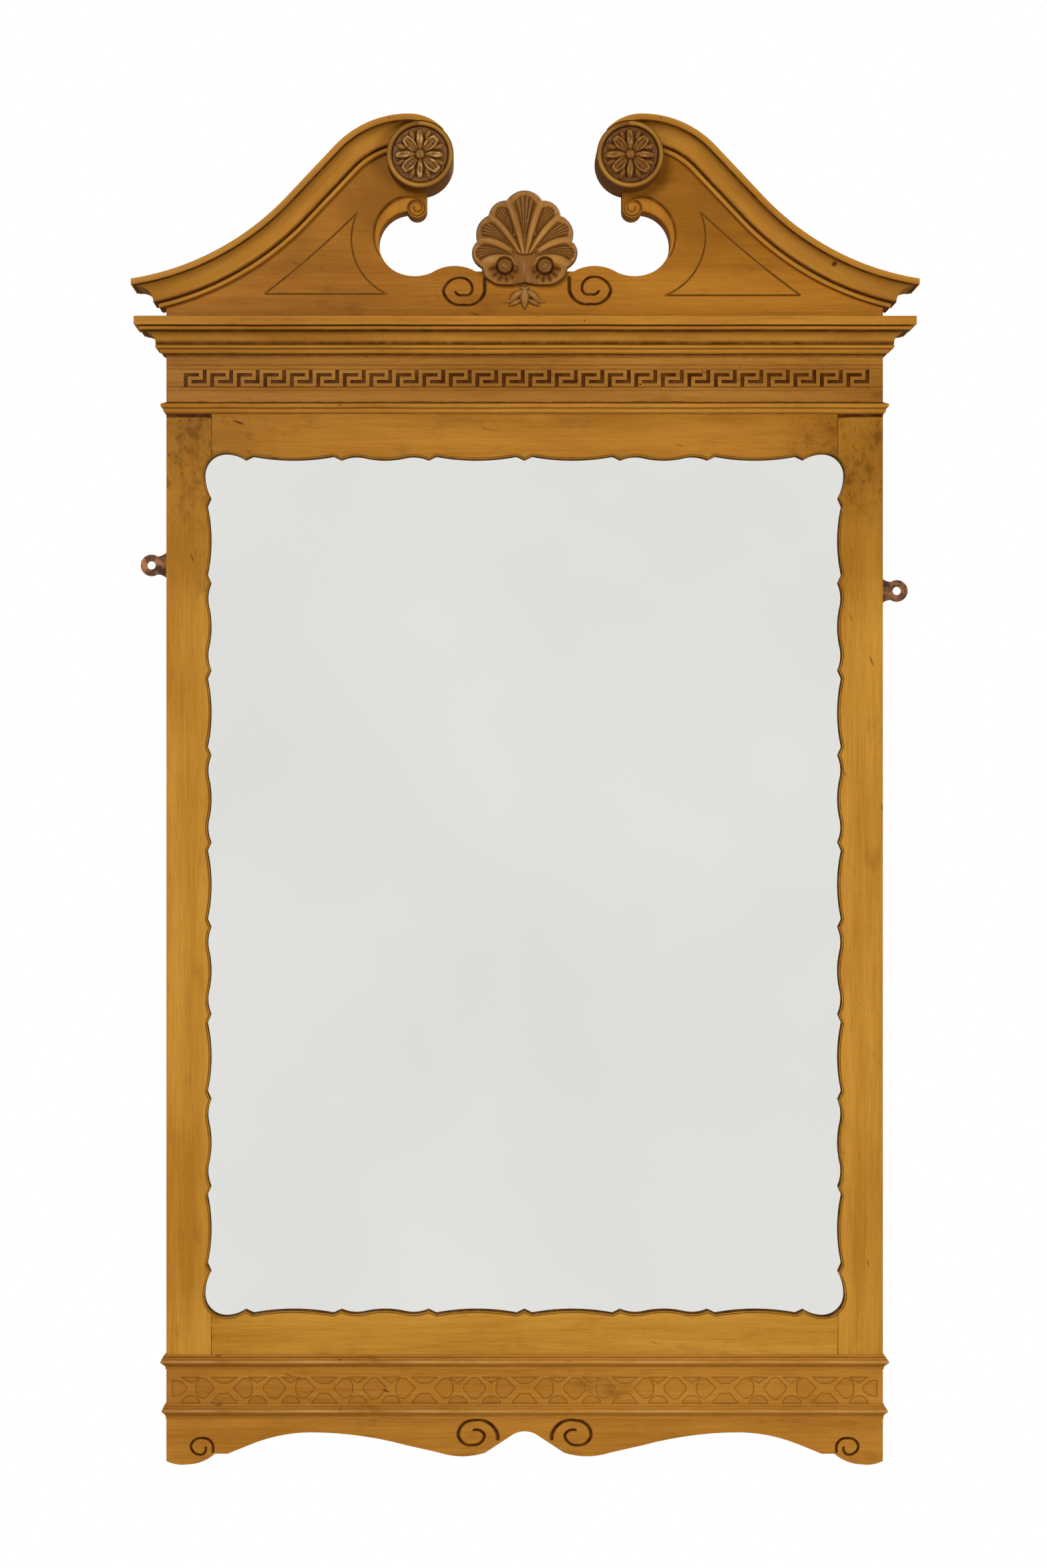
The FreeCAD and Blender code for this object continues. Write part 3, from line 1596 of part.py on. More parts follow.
def shell_outline(hinge):
    """Seven rim lobes whose reach falls away from the top, and two rolled lower lips."""
    foot = hinge - S.shell_lip_drop
    half = [(-S.shell_lip_in, foot, SHELL_FOOT), (-S.shell_lip_out, foot, SHELL_LIP)]
    for turn, swell in SHELL_NOTCHES:
        reach = S.shell_reach - S.shell_fall * turn
        half.append((-(reach * sine(sized(turn))), hinge + reach * cosine(sized(turn)), swell))
    return with_mirror(half)


def make_shell():
    piece = Piece("shell")
    hinge = cornice_top + S.shell_rise + S.shell_lip_drop
    piece.board([shell_outline(hinge)], S.shell_base, S.board_thickness)
    face = S.board_thickness + S.shell_base
    for turn in SHELL_RIBS:
        ends = (S.shell_rib_start, S.shell_reach - S.shell_fall * turn)
        piece.swelling((0, hinge), turn, ends, S.shell_rib, S.shell_rib, face)
        if turn:
            piece.swelling((0, hinge), -turn, ends, S.shell_rib, S.shell_rib, face)
    eye_level = hinge - S.eye_drop
    piece.board([Circle(-S.eye_out, eye_level, S.eye_radius)], S.eye_relief, face)
    piece.board([Circle(S.eye_out, eye_level, S.eye_radius)], S.eye_relief, face)
    piece.swelling((0, eye_level), QUARTER_TURN, (-S.eye_out, S.eye_out), S.shell_rib, S.shell_rib, face)
    lip_level = hinge - S.lip_drop
    lip_ends = (-S.lip_half, S.lip_half)
    piece.swelling((-S.lip_out, lip_level), -S.lip_turn, lip_ends, S.lip_round, S.lip_round, face)
    piece.swelling((S.lip_out, lip_level), S.lip_turn, lip_ends, S.lip_round, S.lip_round, face)


# Petals of the husk drop, as degrees from upright
HUSK_TURNS = (180.0, 213.0, 238.0)


def make_husk_drop():
    """A small block with a long middle petal and two petals spread on each side."""
    piece = Piece("husk_drop")
    top = cornice_top + S.husk_top
    half = S.husk_block / 2
    foot = top - S.husk_block_height
    piece.board([rectangle(-half, foot, half, top)], S.husk_height, S.board_thickness)
    middle = (0, foot + half / 2)
    plane = S.board_thickness + S.husk_height - S.husk_petal_half
    for turn in HUSK_TURNS:
        length = S.husk_side_petal if turn == HUSK_TURNS[-1] else S.husk_petal
        half = S.husk_petal_half
        piece.swelling(middle, turn, (sized(0), length), half, half, plane)
        if turn != HUSK_TURNS[0]:
            piece.swelling(middle, -turn, (sized(0), length), half, half, plane)
    reach = S.husk_side_petal
    piece.cut_back([rectangle(-reach, foot - reach, reach, top + reach)], S.board_thickness)


def make_frame():
    for side in ("left", "right"):
        make_stile(side)
    for level in ("top", "bottom"):
        make_rail(level)
    make_mirror_plate()
    make_glass_blocks()


def make_back():
    for name in ("left", "centre", "right"):
        make_backboard(name)
    nails = rail_nails("top") + rail_nails("bottom") + stile_nails()
    nails += [(-across, up) for across, up in stile_nails()]
    make_fasteners(
        "backboard_nails", nails, square, S.nail_half, S.nail_length, S.nail_head_half, S.nail_head_height
    )
    for level in ("top", "bottom"):
        for side in ("left", "right"):
            make_batten(level, side)
    screws = batten_screw_places("top") + batten_screw_places("bottom")
    make_fasteners(
        "batten_screws",
        screws,
        Circle,
        S.screw_radius,
        S.screw_length,
        S.screw_head_radius,
        S.screw_head_height,
    )
    for side in ("left", "right"):
        make_wall_plate(side)
    screws = plate_screw_places("left")
    screws += [(-across, up) for across, up in plate_screw_places("right")]
    make_fasteners(
        "wall_plate_screws",
        screws,
        Circle,
        S.plate_screw_radius,
        S.plate_screw_length,
        S.plate_screw_head,
        S.plate_screw_head_height,
    )


def make_mouldings():
    upper = S.upper_bead_projection
    lower = S.lower_bead_projection
    make_moulding("cornice", cornice_section(), cornice_foot, S.cornice_projection)
    make_moulding("bed_moulding", bed_section(), half_height + S.bed_rise, S.bed_projection)
    make_moulding("astragal", astragal_section(), half_height - S.astragal_drop, S.astragal_projection)
    make_moulding("upper_fret_bead", fret_bead_section(upper), -(half_height + S.fret_bead_drop), upper)
    make_moulding("lower_fret_bead", fret_bead_section(lower), -(fret_foot + S.fret_bead_drop), lower)


def make_pediment():
    make_pediment_board()
    for side in ("left", "right"):
        make_swan_neck(side)
        make_neck_return(side)
        make_drum(side)
        make_flower(side)
    make_shell()
    make_husk_drop()


def check_document():
    """Stop when any object failed or any solid is broken."""
    doc.recompute()
    for item in doc.Objects:
        if "Invalid" in item.State or "Error" in item.State:
            raise RuntimeError(f"{item.Label} failed: {item.State}")
    for body in Piece.made:
        if body.Shape.isNull() or not body.Shape.isValid():
            raise RuntimeError(f"{body.Label} has no valid shape")


def write_parts():
    os.makedirs("parts", exist_ok=True)
    for body in Piece.made:
        body.Shape.exportStep(f"parts/{body.Label}.step")
        print(f"{body.Label}: {len(body.Shape.Solids)} solid(s), {body.Shape.Volume:.0f} mm3")


make_frame()
make_back()
make_key_frieze()
make_fret_frieze()
make_apron()
make_mouldings()
make_pediment()
check_document()
write_parts()
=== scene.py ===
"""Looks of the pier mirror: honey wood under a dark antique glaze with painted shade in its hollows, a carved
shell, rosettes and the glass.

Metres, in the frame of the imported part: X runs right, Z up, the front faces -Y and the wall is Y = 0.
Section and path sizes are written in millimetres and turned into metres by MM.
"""
import math

import bmesh
import bpy
import numpy as np
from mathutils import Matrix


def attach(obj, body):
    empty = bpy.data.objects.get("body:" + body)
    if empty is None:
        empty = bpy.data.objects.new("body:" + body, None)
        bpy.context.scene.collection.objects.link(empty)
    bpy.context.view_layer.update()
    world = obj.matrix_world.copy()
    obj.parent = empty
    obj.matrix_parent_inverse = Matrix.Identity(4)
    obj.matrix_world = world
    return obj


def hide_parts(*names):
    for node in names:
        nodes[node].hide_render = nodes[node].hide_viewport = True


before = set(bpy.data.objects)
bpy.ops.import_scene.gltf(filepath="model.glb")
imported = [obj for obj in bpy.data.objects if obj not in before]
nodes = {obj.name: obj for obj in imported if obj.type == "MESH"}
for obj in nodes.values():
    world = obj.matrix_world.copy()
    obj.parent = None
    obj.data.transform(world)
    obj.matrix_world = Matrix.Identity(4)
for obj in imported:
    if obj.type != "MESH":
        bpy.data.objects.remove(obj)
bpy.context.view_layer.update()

MM = 0.001
SIDES = (("left", -1), ("right", 1))
BOTH_ENDS = (0, -1)
SHARP_ANGLE = math.radians(38)

# Main sizes of the solids, in millimetres
HALF_WIDTH = 345.0
HALF_HEIGHT = 459.5
BOARD = 26.0
CORNICE_FOOT = 519.5
CORNICE_TOP = 544.1
QUIRK = 0.9
STILE_EDGE = 302.0
GLASS_FRONT = -18.0
HAIR = 0.02

# Opening's scalloped edge, in millimetres
OPENING_HALF = 308.7
OPENING_RISE = 416.25
TIP = 6.0
NOTCH = 2.4
DIP = 4.0
DIP_SAG = 2.0
LOBE = 20.5
HOLLOW_SHARE = 0.28
SIDE_BUMP = 66.0
SIDE_STEP = 8.0
SIDE_CORNER = 42.8
RAIL_BUMP = 77.5
RAIL_STEP = 7.5
RAIL_CORNER = 39.5

# Drum, flower and shell, in millimetres; the shell's edge by degrees from upright and reach from the hinge
DRUM_X = 100.3
DRUM_RADIUS = 32.0
DRUM_PROJECTION = 30.0
DRUM_RIM = 5.0
DRUM_RECESS = 4.0
DRUM_EASE = 2.0
FLOWER_RADIUS = 26.6
SHELL_TOP = 667.9
SHELL_DROP = 70.0
SHELL_TURNS = [0.0, 16.1, 37.4, 65.6, 96.2, 108.0, 124.0, 140.0, 160.0, 180.0]
SHELL_REACHES = [62.6, 62.6, 57.4, 50.1, 41.7, 41.0, 35.5, 27.5, 21.5, 18.8]
LOBE_SWELLS = [7.4, 3.5, 3.8, 5.4]
RIB_SWEEP = 0.45
EYE_OUT = 19.3
EYE_DOWN = 72.8
EYE_RADIUS = 6.7

# Blind fret and the housings behind it, in millimetres
FRET_FOOT = -507.0
FRET_AXIS = 24.95
FRET_PERIOD = 96.5
FRET_MARGIN = 7.25
FRET_END_GAP = 5.5
FRET_DEPTH = 0.7
FRET_TOP = 10.9
FRET_BOTTOM = 14.5
FRET_BORDER = 1.6
FRET_STRAP = 4.6
FRET_NARROW = 9.4
FRET_CELL_REACH = 13.2
FRET_CELL_RISE = 9.8
FAR_AWAY = 9.0
BATTEN_SPREAD = 85.0
BATTEN_HALF = 20.8
BATTEN_DEPTH = 10.0

# Points of the grids: along one way, or (rows, columns)
FRONT_STEPS = 81
RETURN_STEPS = 9
TAIL_STEPS = 24
CROWN_STEPS = 36
RUN_STEPS = 50
SWEEP_STEPS = 90
BEAD_POINTS = 15
DRUM_STEPS = 160
PERIOD_STEPS = 161
BAND_GRID = (15, 70)
CURL_GRID = (30, 96)
FLOWER_GRID = (84, 288)
SHELL_GRID = (96, 512)
LEAF_GRID = (21, 41)
FRET_GRID = (52, 1121)

# Photograph's frame and the camera's place before the front of the boards
PHOTO_WIDTH = 1568
VIEW_WIDTH = 1008.2
VIEW_DISTANCE = 3000.0
CAMERA_X = -55.1
CAMERA_Z = 100.0
SENSOR = 36.0
SHIFT_RIGHT = 84
SHIFT_DOWN = 4

# Floor in metres, the world's share of light, and lamps as (name, place, target, size, power)
FLOOR_LEVEL = -0.86
FLOOR_MIDDLE = -0.65
FLOOR_HALF = 1.40
AMBIENT = 0.29
LAMPS = [
    ("key_lamp", (-0.8, -3.1, 1.35), (0, 0, 0), 1.0, 63),
    ("fill_lamp", (1.8, -3.0, -0.2), (0, 0, -0.2), 1.4, 50),
    ("back_lamp", (0.6, 2.4, 1.6), (0, 0, 0), 1.6, 45),
]

# Old polish and painted shade lie in quirks, and more thinly in coves: reach of the blur that finds them, and
# the full depth
QUIRK_REACH = 1.7
QUIRK_DEPTH = 0.40
QUIRK_SHARE = 0.55
COVE_REACH = 5.0
COVE_DEPTH = 2.0
COVE_SHARE = 0.15
# Share of wear and painted highlight on convex arrises
ARRIS_SHARE = 0.35
RAGGED = 2.2

# Linear colours: the two ends of each material's range, then single colours
HONEY = ((0.50, 0.245, 0.034, 1.0), (0.34, 0.142, 0.015, 1.0))
UPPER = ((0.44, 0.192, 0.026, 1.0), (0.29, 0.112, 0.012, 1.0))
TOP = ((0.43, 0.175, 0.020, 1.0), (0.27, 0.099, 0.010, 1.0))
KEY = ((0.355, 0.154, 0.026, 1.0), (0.24, 0.094, 0.013, 1.0))
FRIEZE = ((0.44, 0.193, 0.028, 1.0), (0.30, 0.118, 0.014, 1.0))
CARVED = ((0.24, 0.098, 0.018, 1.0), (0.13, 0.048, 0.009, 1.0))
HUSK = (KEY[0], CARVED[1])
BACK = ((0.30, 0.185, 0.090, 1.0), (0.19, 0.105, 0.045, 1.0))
BRASS = ((0.15, 0.062, 0.024, 1.0), (0.045, 0.020, 0.010, 1.0))
IRON = ((0.12, 0.105, 0.095, 1.0), (0.045, 0.030, 0.022, 1.0))
SILVER = ((0.760, 0.765, 0.735, 1.0), (0.720, 0.727, 0.695, 1.0))
FLOOR = ((0.80, 0.80, 0.79, 1.0), (0.84, 0.84, 0.83, 1.0))
WHITE = (1.0, 1.0, 1.0, 1.0)
# Pale colours where arrises and ridges are worn and carry painted highlights
RUBBED_AND_LIT = (0.56, 0.28, 0.045, 1.0)
CARVED_RUBBED_AND_LIT = (0.46, 0.215, 0.042, 1.0)
# Painted highlight on the husk's leaves
HUSK_HIGHLIGHT = (0.58, 0.345, 0.110, 1.0)
# Painted highlight on the fret beads
BEAD_HIGHLIGHT = (0.56, 0.325, 0.110, 1.0)
# Gilt and painted glints on the left rosette's crests
GILT_AND_GLINT = (0.64, 0.41, 0.15, 1.0)
# Antique glaze and painted shade in hollows, also the dark of filled pores
GLAZE_AND_SHADE = (0.040, 0.009, 0.001, 1.0)
# Colour that a surface darkens to towards given places
DARKENED = (0.19, 0.070, 0.006, 1.0)
FOXING = (0.16, 0.13, 0.09, 1.0)
BACK_PAINT = (0.060, 0.030, 0.020, 1.0)


# Sections and paths worked out as arrays; a bend is the rise of an arc over half its chord

QUARTER = math.tan(math.pi / 8)


def run_points(start, end, bend, spacing):
    """Points from start towards end: on the chord, or on the arc whose rise is bend times half the chord."""
    start = np.array(start, float)
    chord = np.array(end, float) - start
    length = math.hypot(*chord)
    count = max(2, int(length * (1 + abs(bend)) / spacing))
    share = np.arange(count) / count
    if bend == 0:
        return start + share[:, None] * chord
    along = chord / length
    left = np.array([-along[1], along[0]])
    radius = length * (1 + bend * bend) / (4 * bend)
    angle = (share - 0.5) * 4 * math.atan(bend)
    rise = radius * np.cos(angle) - radius + bend * length / 2
    reach = radius * np.sin(angle)
    return start + chord / 2 + reach[:, None] * along + rise[:, None] * left


def outline(corners, spacing=0.25, closed=True):
    """Points along corners of (across, up) or (across, up, bend of the run that leaves)."""
    runs = []
    last = len(corners) if closed else len(corners) - 1
    for index in range(last):
        corner = corners[index]
        following = corners[(index + 1) % len(corners)]
        runs.append(run_points(corner[:2], following[:2], sum(corner[2:]), spacing))
    if not closed:
        runs.append(np.array([corners[-1][:2]], float))
    return np.concatenate(runs)


def run_along(points):
    """Distance along a line to each of its points."""
    return np.concatenate([[0], np.cumsum(np.hypot(*np.diff(points, axis=0).T))])


def evenly(points, count, closed=True):
    """The same line with its points at equal distances."""
    ring = np.concatenate([points, points[:1]]) if closed else points
    run = run_along(ring)
    places = np.linspace(0, run[-1], count, endpoint=not closed)
    return np.stack([np.interp(places, run, ring[:, axis]) for axis in (0, 1)], axis=1)


def blurred(points, sigma, spacing):
    """A closed line smoothed with a bell curve of the given width, by its Fourier series."""
    pitch = np.fft.fftfreq(len(points), spacing)
    damp = np.exp(-2 * (math.pi * pitch * sigma) ** 2)
    return np.real(np.fft.ifft(np.fft.fft(points, axis=0) * damp[:, None], axis=0))


def turning(points):
    """1 for a closed line that runs anticlockwise, and -1 for the other way."""
    after = np.roll(points, -1, axis=0)
    return np.sign(np.sum(points[:, 0] * after[:, 1] - points[:, 1] * after[:, 0]))


def soft_section(corners, glazed_and_shaded=(), rubbed_and_lit=(), arris=0.3, spacing=0.3):
    """A closed section with eased arrises, and how far each point is sunk or proud, from 0 to 1.

    A corner's bend swells outwards when it is more than 0. A point's hollow is the distance from it to the
    wider blur of the line, taken along its normal, and takes glaze and painted shade. Places of glaze and
    painted shade, and of wear and painted highlight, are (reach, level, spread, strength).
    """
    outward = -turning(np.array([corner[:2] for corner in corners], float))
    raw = outline([(*corner[:2], outward * sum(corner[2:])) for corner in corners])
    length = run_along(np.concatenate([raw, raw[:1]]))[-1]
    count = int(length / spacing)
    line = evenly(raw, count)
    soft = blurred(line, arris, length / count)
    along = np.roll(soft, -1, axis=0) - np.roll(soft, 1, axis=0)
    normal = np.stack([along[:, 1], -along[:, 0]], axis=1)
    normal /= np.linalg.norm(normal, axis=1)[:, None] + 1e-9
    near, far = (
        np.sum((blurred(line, reach, length / count) - soft) * normal, axis=1) * turning(soft) / depth
        for reach, depth in ((QUIRK_REACH, QUIRK_DEPTH), (COVE_REACH, COVE_DEPTH))
    )
    recess = with_places(soft, np.clip(np.maximum(near * QUIRK_SHARE, far * COVE_SHARE), 0, 1), glazed_and_shaded)
    edge = with_places(soft, ARRIS_SHARE * np.clip(-near, 0, 1), rubbed_and_lit)
    return soft, recess, edge, np.arange(count) * length / count


def with_places(line, mask, places):
    """The mask of a line raised by a bell curve about each place of (across, up, spread, strength)."""
    for across, up, spread, strength in places:
        apart = np.hypot(line[:, 0] - across, line[:, 1] - up)
        mask = np.maximum(mask, strength * bell(apart, spread))
    return mask


def bell(value, spread):
    return np.exp(-((value / spread) ** 2))


def dome(value):
    """Height of a half circle over its radius, and 0 outside it."""
    return np.sqrt(np.clip(1 - value**2, 0, 1))


def smooth_step(low, high, value):
    share = np.clip((value - low) / (high - low), 0, 1)
    return share * share * (3 - 2 * share)


# Meshes from grids


class Patch:
    """A grid of points in millimetres, with its hollows, arrises, grain coordinates and faces.

    Each value is one number, one number for each row, or a grid. The grain is (along, across), or (x, z).
    A wrapped direction joins its last line to its first. Caps are end columns closed by one flat face.
    """

    def __init__(
        self, x, y, z, recess=0.0, edge=0.0, grain=None, wrap_rows=False, wrap_columns=False, caps=(),
    ):
        x, y, z = np.broadcast_arrays(x, y, z)
        self.points = np.stack([x, y, z], axis=-1)
        self.recess = self.spread(recess)
        self.edge = self.spread(edge)
        along, across = grain or (x, z)
        self.grain = np.stack([self.spread(along), self.spread(across)], axis=-1)
        ids = np.arange(x.size).reshape(x.shape)
        self.caps = [ids[:, column].tolist() for column in caps]
        if wrap_rows:
            ids = np.concatenate([ids, ids[:1]], axis=0)
        if wrap_columns:
            ids = np.concatenate([ids, ids[:, :1]], axis=1)
        cells = [ids[:-1, :-1], ids[:-1, 1:], ids[1:, 1:], ids[1:, :-1]]
        self.quads = np.stack(cells, axis=-1).reshape(-1, 4)

    def spread(self, values):
        """Values over the whole grid."""
        values = np.asarray(values, float)
        if values.ndim == 1:
            values = values[:, None]
        return np.broadcast_to(values, self.points.shape[:2])


def add_object(name, data):
    made = bpy.data.objects.new(name, data)
    bpy.context.scene.collection.objects.link(made)
    return made


def build_piece(name, patches, material, replaced=()):
    """One closed mesh from its patches, which rides on the part and stands for the named solids."""
    start = 0
    points = []
    faces = []
    for patch in patches:
        points.append(patch.points.reshape(-1, 3))
        faces += (patch.quads + start).tolist()
        faces += [[number + start for number in face] for face in patch.caps]
        start += len(points[-1])
    mesh = bpy.data.meshes.new(name)
    mesh.from_pydata((np.concatenate(points) * MM).tolist(), [], faces)
    for label in ("recess", "edge"):
        values = np.concatenate([getattr(patch, label).reshape(-1) for patch in patches])
        mesh.attributes.new(label, "FLOAT", "POINT").data.foreach_set("value", values.astype(np.float32))
    grain = np.concatenate([patch.grain.reshape(-1, 2) for patch in patches]) * MM
    corner = np.zeros(len(mesh.loops), np.int32)
    mesh.loops.foreach_get("vertex_index", corner)
    mesh.uv_layers.new(name="grain").data.foreach_set("uv", grain[corner].astype(np.float32).reshape(-1))
    work = bmesh.new()
    work.from_mesh(mesh)
    bmesh.ops.remove_doubles(work, verts=work.verts, dist=1e-6)
    bmesh.ops.recalc_face_normals(work, faces=work.faces)
    work.to_mesh(mesh)
    work.free()
    mesh.polygons.foreach_set("use_smooth", np.ones(len(mesh.polygons), bool))
    mesh.set_sharp_from_angle(angle=SHARP_ANGLE)
    mesh.materials.append(material)
    piece = add_object(name, mesh)
    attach(piece, "root")
    if replaced:
        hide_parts(*replaced)


# Shader nodes; a new node goes into the tree of the socket that feeds it


def feed(node, inputs):
    """Give a node's inputs values or links."""
    for key, value in inputs.items():
        if isinstance(value, bpy.types.NodeSocket):
            value.id_data.links.new(value, node.inputs[key])
        else:
            node.inputs[key].default_value = value


def add_node(tree, kind, inputs=None, **options):
    """A node with its options set and its inputs fed."""
    made = tree.nodes.new(kind)
    for key, value in options.items():
        setattr(made, key, value)
    feed(made, inputs or {})
    return made


def figure(operation, first, second=0.0, clamp=False):
    """One sum of two numbers, at least one of which is a socket."""
    tree = (first if isinstance(first, bpy.types.NodeSocket) else second).id_data
    made = add_node(tree, "ShaderNodeMath", {0: first, 1: second}, operation=operation, use_clamp=clamp)
    return made.outputs[0]


def times(first, second, clamp=False):
    return figure("MULTIPLY", first, second, clamp)


def plus(first, second, clamp=False):
    return figure("ADD", first, second, clamp)


def less(first, second, clamp=False):
    return figure("SUBTRACT", first, second, clamp)


def most_of(*masks):
    """The greatest of some masks at each point."""
    most = masks[0]
    for mask in masks[1:]:
        most = figure("MAXIMUM", most, mask)
    return most


def blend_colour(share, first, second):
    inputs = {0: share, 6: first, 7: second}
    return add_node(share.id_data, "ShaderNodeMix", inputs, data_type="RGBA").outputs[2]


def between(value, low, high, start=0.0, end=1.0):
    """Smooth step from start to end as the value goes from low to high."""
    inputs = {"Value": value, "From Min": low, "From Max": high, "To Min": start, "To Max": end}
    made = add_node(value.id_data, "ShaderNodeMapRange", inputs, interpolation_type="SMOOTHSTEP")
    return made.outputs["Result"]


def stretched(vector, along, across):
    """Coordinates multiplied by one number along the grain and by another across it."""
    inputs = {0: vector, 1: (along, across, across)}
    return add_node(vector.id_data, "ShaderNodeVectorMath", inputs, operation="MULTIPLY").outputs[0]


def cloud(vector, scale, detail, rough):
    inputs = {"Vector": vector, "Scale": scale, "Detail": detail, "Roughness": rough}
    return add_node(vector.id_data, "ShaderNodeTexNoise", inputs).outputs["Fac"]


def scattered(vector, scale, core, rim, strength, absent, present):
    """Spots about scattered points, full inside the core and gone at the rim.

    Each point has a random number: under absent it has no spot, and over present it has one.
    """
    point = add_node(vector.id_data, "ShaderNodeTexVoronoi", {"Vector": vector, "Scale": scale}).outputs
    pick = add_node(vector.id_data, "ShaderNodeSeparateColor", {"Color": point["Color"]}).outputs["Red"]
    return times(between(point["Distance"], core, rim, strength, 0.0), between(pick, absent, present))


def bumped(height, strength, distance):
    """Normal of a surface roughened by a height; the distance is in millimetres."""
    inputs = {"Height": height, "Strength": strength, "Distance": distance * MM}
    return add_node(height.id_data, "ShaderNodeBump", inputs).outputs["Normal"]


def new_group(name, inputs, outputs):
    """An empty node group: its inputs, and the node that takes its outputs.

    An input's kind follows its value: nothing for a vector, four numbers for a colour, or one number.
    """
    tree = bpy.data.node_groups.new(name, "ShaderNodeTree")
    for label, value in inputs.items():
        kind = "Color" if isinstance(value, tuple) else "Float"
        kind = "Vector" if value is None else kind
        socket = tree.interface.new_socket(name=label, in_out="INPUT", socket_type=f"NodeSocket{kind}")
        if value is not None:
            socket.default_value = value
    for label in outputs:
        kind = "Color" if label == "Color" else "Float"
        tree.interface.new_socket(name=label, in_out="OUTPUT", socket_type=f"NodeSocket{kind}")
    return tree.nodes.new("NodeGroupInput").outputs, tree.nodes.new("NodeGroupOutput")


def place_group(tree, group, inputs):
    return add_node(tree, "ShaderNodeGroup", inputs, node_tree=group).outputs


def make_grain_group():
    """Wood grain along the first coordinate: broad bands, fine streaks and short pores."""
    inputs = {"Vector": None, "Light": HONEY[0], "Dark": HONEY[1]}
    given, out = new_group("wood_grain", inputs, ["Color", "Roughness", "Height"])
    vector = given["Vector"]
    bands = cloud(stretched(vector, 3.0, 38.0), 1.0, 5.0, 0.6)
    streaks = cloud(stretched(vector, 14.0, 420.0), 1.0, 3.0, 0.6)
    patches = cloud(stretched(vector, 3.5, 7.0), 1.0, 3.0, 0.5)
    pores = between(cloud(stretched(vector, 55.0, 1500.0), 1.0, 2.0, 0.5), 0.60, 0.72)
    tone = plus(between(bands, 0.32, 0.68, 0.0, 0.5), between(patches, 0.36, 0.66, 0.0, 0.5))
    tone = plus(tone, between(streaks, 0.35, 0.75, 0.0, 0.35), clamp=True)
    colour = blend_colour(tone, given["Light"], given["Dark"])
    colour = blend_colour(times(pores, 0.28), colour, GLAZE_AND_SHADE)
    rough = between(streaks, 0.2, 0.8, 0.30, 0.44)
    height = less(times(streaks, 0.35), times(pores, 0.5))
    feed(out, {"Color": colour, "Roughness": rough, "Height": height})
    return out.id_data


def make_glaze_and_shade_group():
    """Dark antique glaze and painted shade in hollows, wood worn pale with painted highlights on arrises, and
    both broken up by wear.
    """
    inputs = {"Vector": None, "Color": HONEY[0], "Roughness": 0.4, "Rubbed_and_lit": RUBBED_AND_LIT}
    inputs.update({"Recess": 0.0, "Edge": 0.0, "Darkening": 0.0})
    given, out = new_group("antique_glaze_and_shade", inputs, ["Color", "Roughness"])
    wear = cloud(given["Vector"], 90.0, 4.0, 0.6)
    broad = cloud(given["Vector"], 12.0, 3.0, 0.5)
    held = times(given["Recess"], between(wear, 0.25, 0.65, 0.72, 1.0), clamp=True)
    rubbed_and_lit = times(given["Edge"], between(broad, 0.35, 0.7, 0.1, 0.55), clamp=True)
    darkened = times(given["Darkening"], between(broad, 0.3, 0.65, 0.25, 0.75))
    colour = blend_colour(darkened, given["Color"], DARKENED)
    colour = blend_colour(rubbed_and_lit, colour, given["Rubbed_and_lit"])
    colour = blend_colour(held, colour, GLAZE_AND_SHADE)
    rough = plus(given["Roughness"], times(held, 0.25), clamp=True)
    feed(out, {"Color": colour, "Roughness": rough})
    return out.id_data


def make_marks_group():
    """Mask of worm holes, scratches, specks and stains, and of soil where the amount is over 1."""
    given, out = new_group("age_marks", {"Vector": None, "Amount": 1.0}, ["Mask"])
    vector = given["Vector"]
    bent = add_node(out.id_data, "ShaderNodeVectorRotate", {"Vector": vector, "Angle": 0.35}).outputs[0]
    holes = scattered(vector, 34.0, 0.022, 0.042, 1.0, 0.74, 0.78)
    scratches = scattered(stretched(bent, 22.0, 130.0), 1.0, 0.06, 0.16, 0.8, 0.85, 0.88)
    specks = scattered(vector, 140.0, 0.04, 0.10, 0.85, 0.90, 0.92)
    stain = between(cloud(stretched(vector, 16.0, 30.0), 1.0, 5.0, 0.65), 0.53, 0.75, 0.0, 0.36)
    mask = times(most_of(holes, scratches, specks, stain), given["Amount"], clamp=True)
    blotches = between(cloud(bent, 62.0, 5.0, 0.7), 0.50, 0.68, 0.0, 0.55)
    peppered = between(cloud(bent, 210.0, 2.0, 0.5), 0.62, 0.72, 0.0, 0.50)
    soil = times(most_of(blotches, peppered), less(given["Amount"], 1.0, clamp=True))
    feed(out, {"Mask": most_of(mask, soil)})
    return out.id_data


GRAIN = make_grain_group()
ANTIQUE = make_glaze_and_shade_group()
MARKS = make_marks_group()


def new_material(name):
    material = bpy.data.materials.new(name)
    material.use_nodes = True
    tree = material.node_tree
    return material, tree, tree.nodes["Principled BSDF"]


def object_place(tree):
    return add_node(tree, "ShaderNodeTexCoord").outputs["Object"]


def mesh_value(tree, label):
    return add_node(tree, "ShaderNodeAttribute", attribute_name=label).outputs["Fac"]


def grain_vector(tree, way):
    """Coordinates in metres with the grain along the first: across, upright, or along the piece."""
    if way == "along":
        return add_node(tree, "ShaderNodeUVMap", uv_map="grain").outputs["UV"]
    split = add_node(tree, "ShaderNodeSeparateXYZ", {0: object_place(tree)}).outputs
    order = {"across": (0, 2, 1), "upright": (2, 0, 1)}[way]
    joined = {slot: split[axis] for slot, axis in enumerate(order)}
    return add_node(tree, "ShaderNodeCombineXYZ", joined).outputs[0]


def along_axis(place, axis):
    """The place along one axis in metres; across, it is the distance from the middle."""
    value = add_node(place.id_data, "ShaderNodeSeparateXYZ", {0: place}).outputs[axis]
    return figure("ABSOLUTE", value) if axis == "X" else value


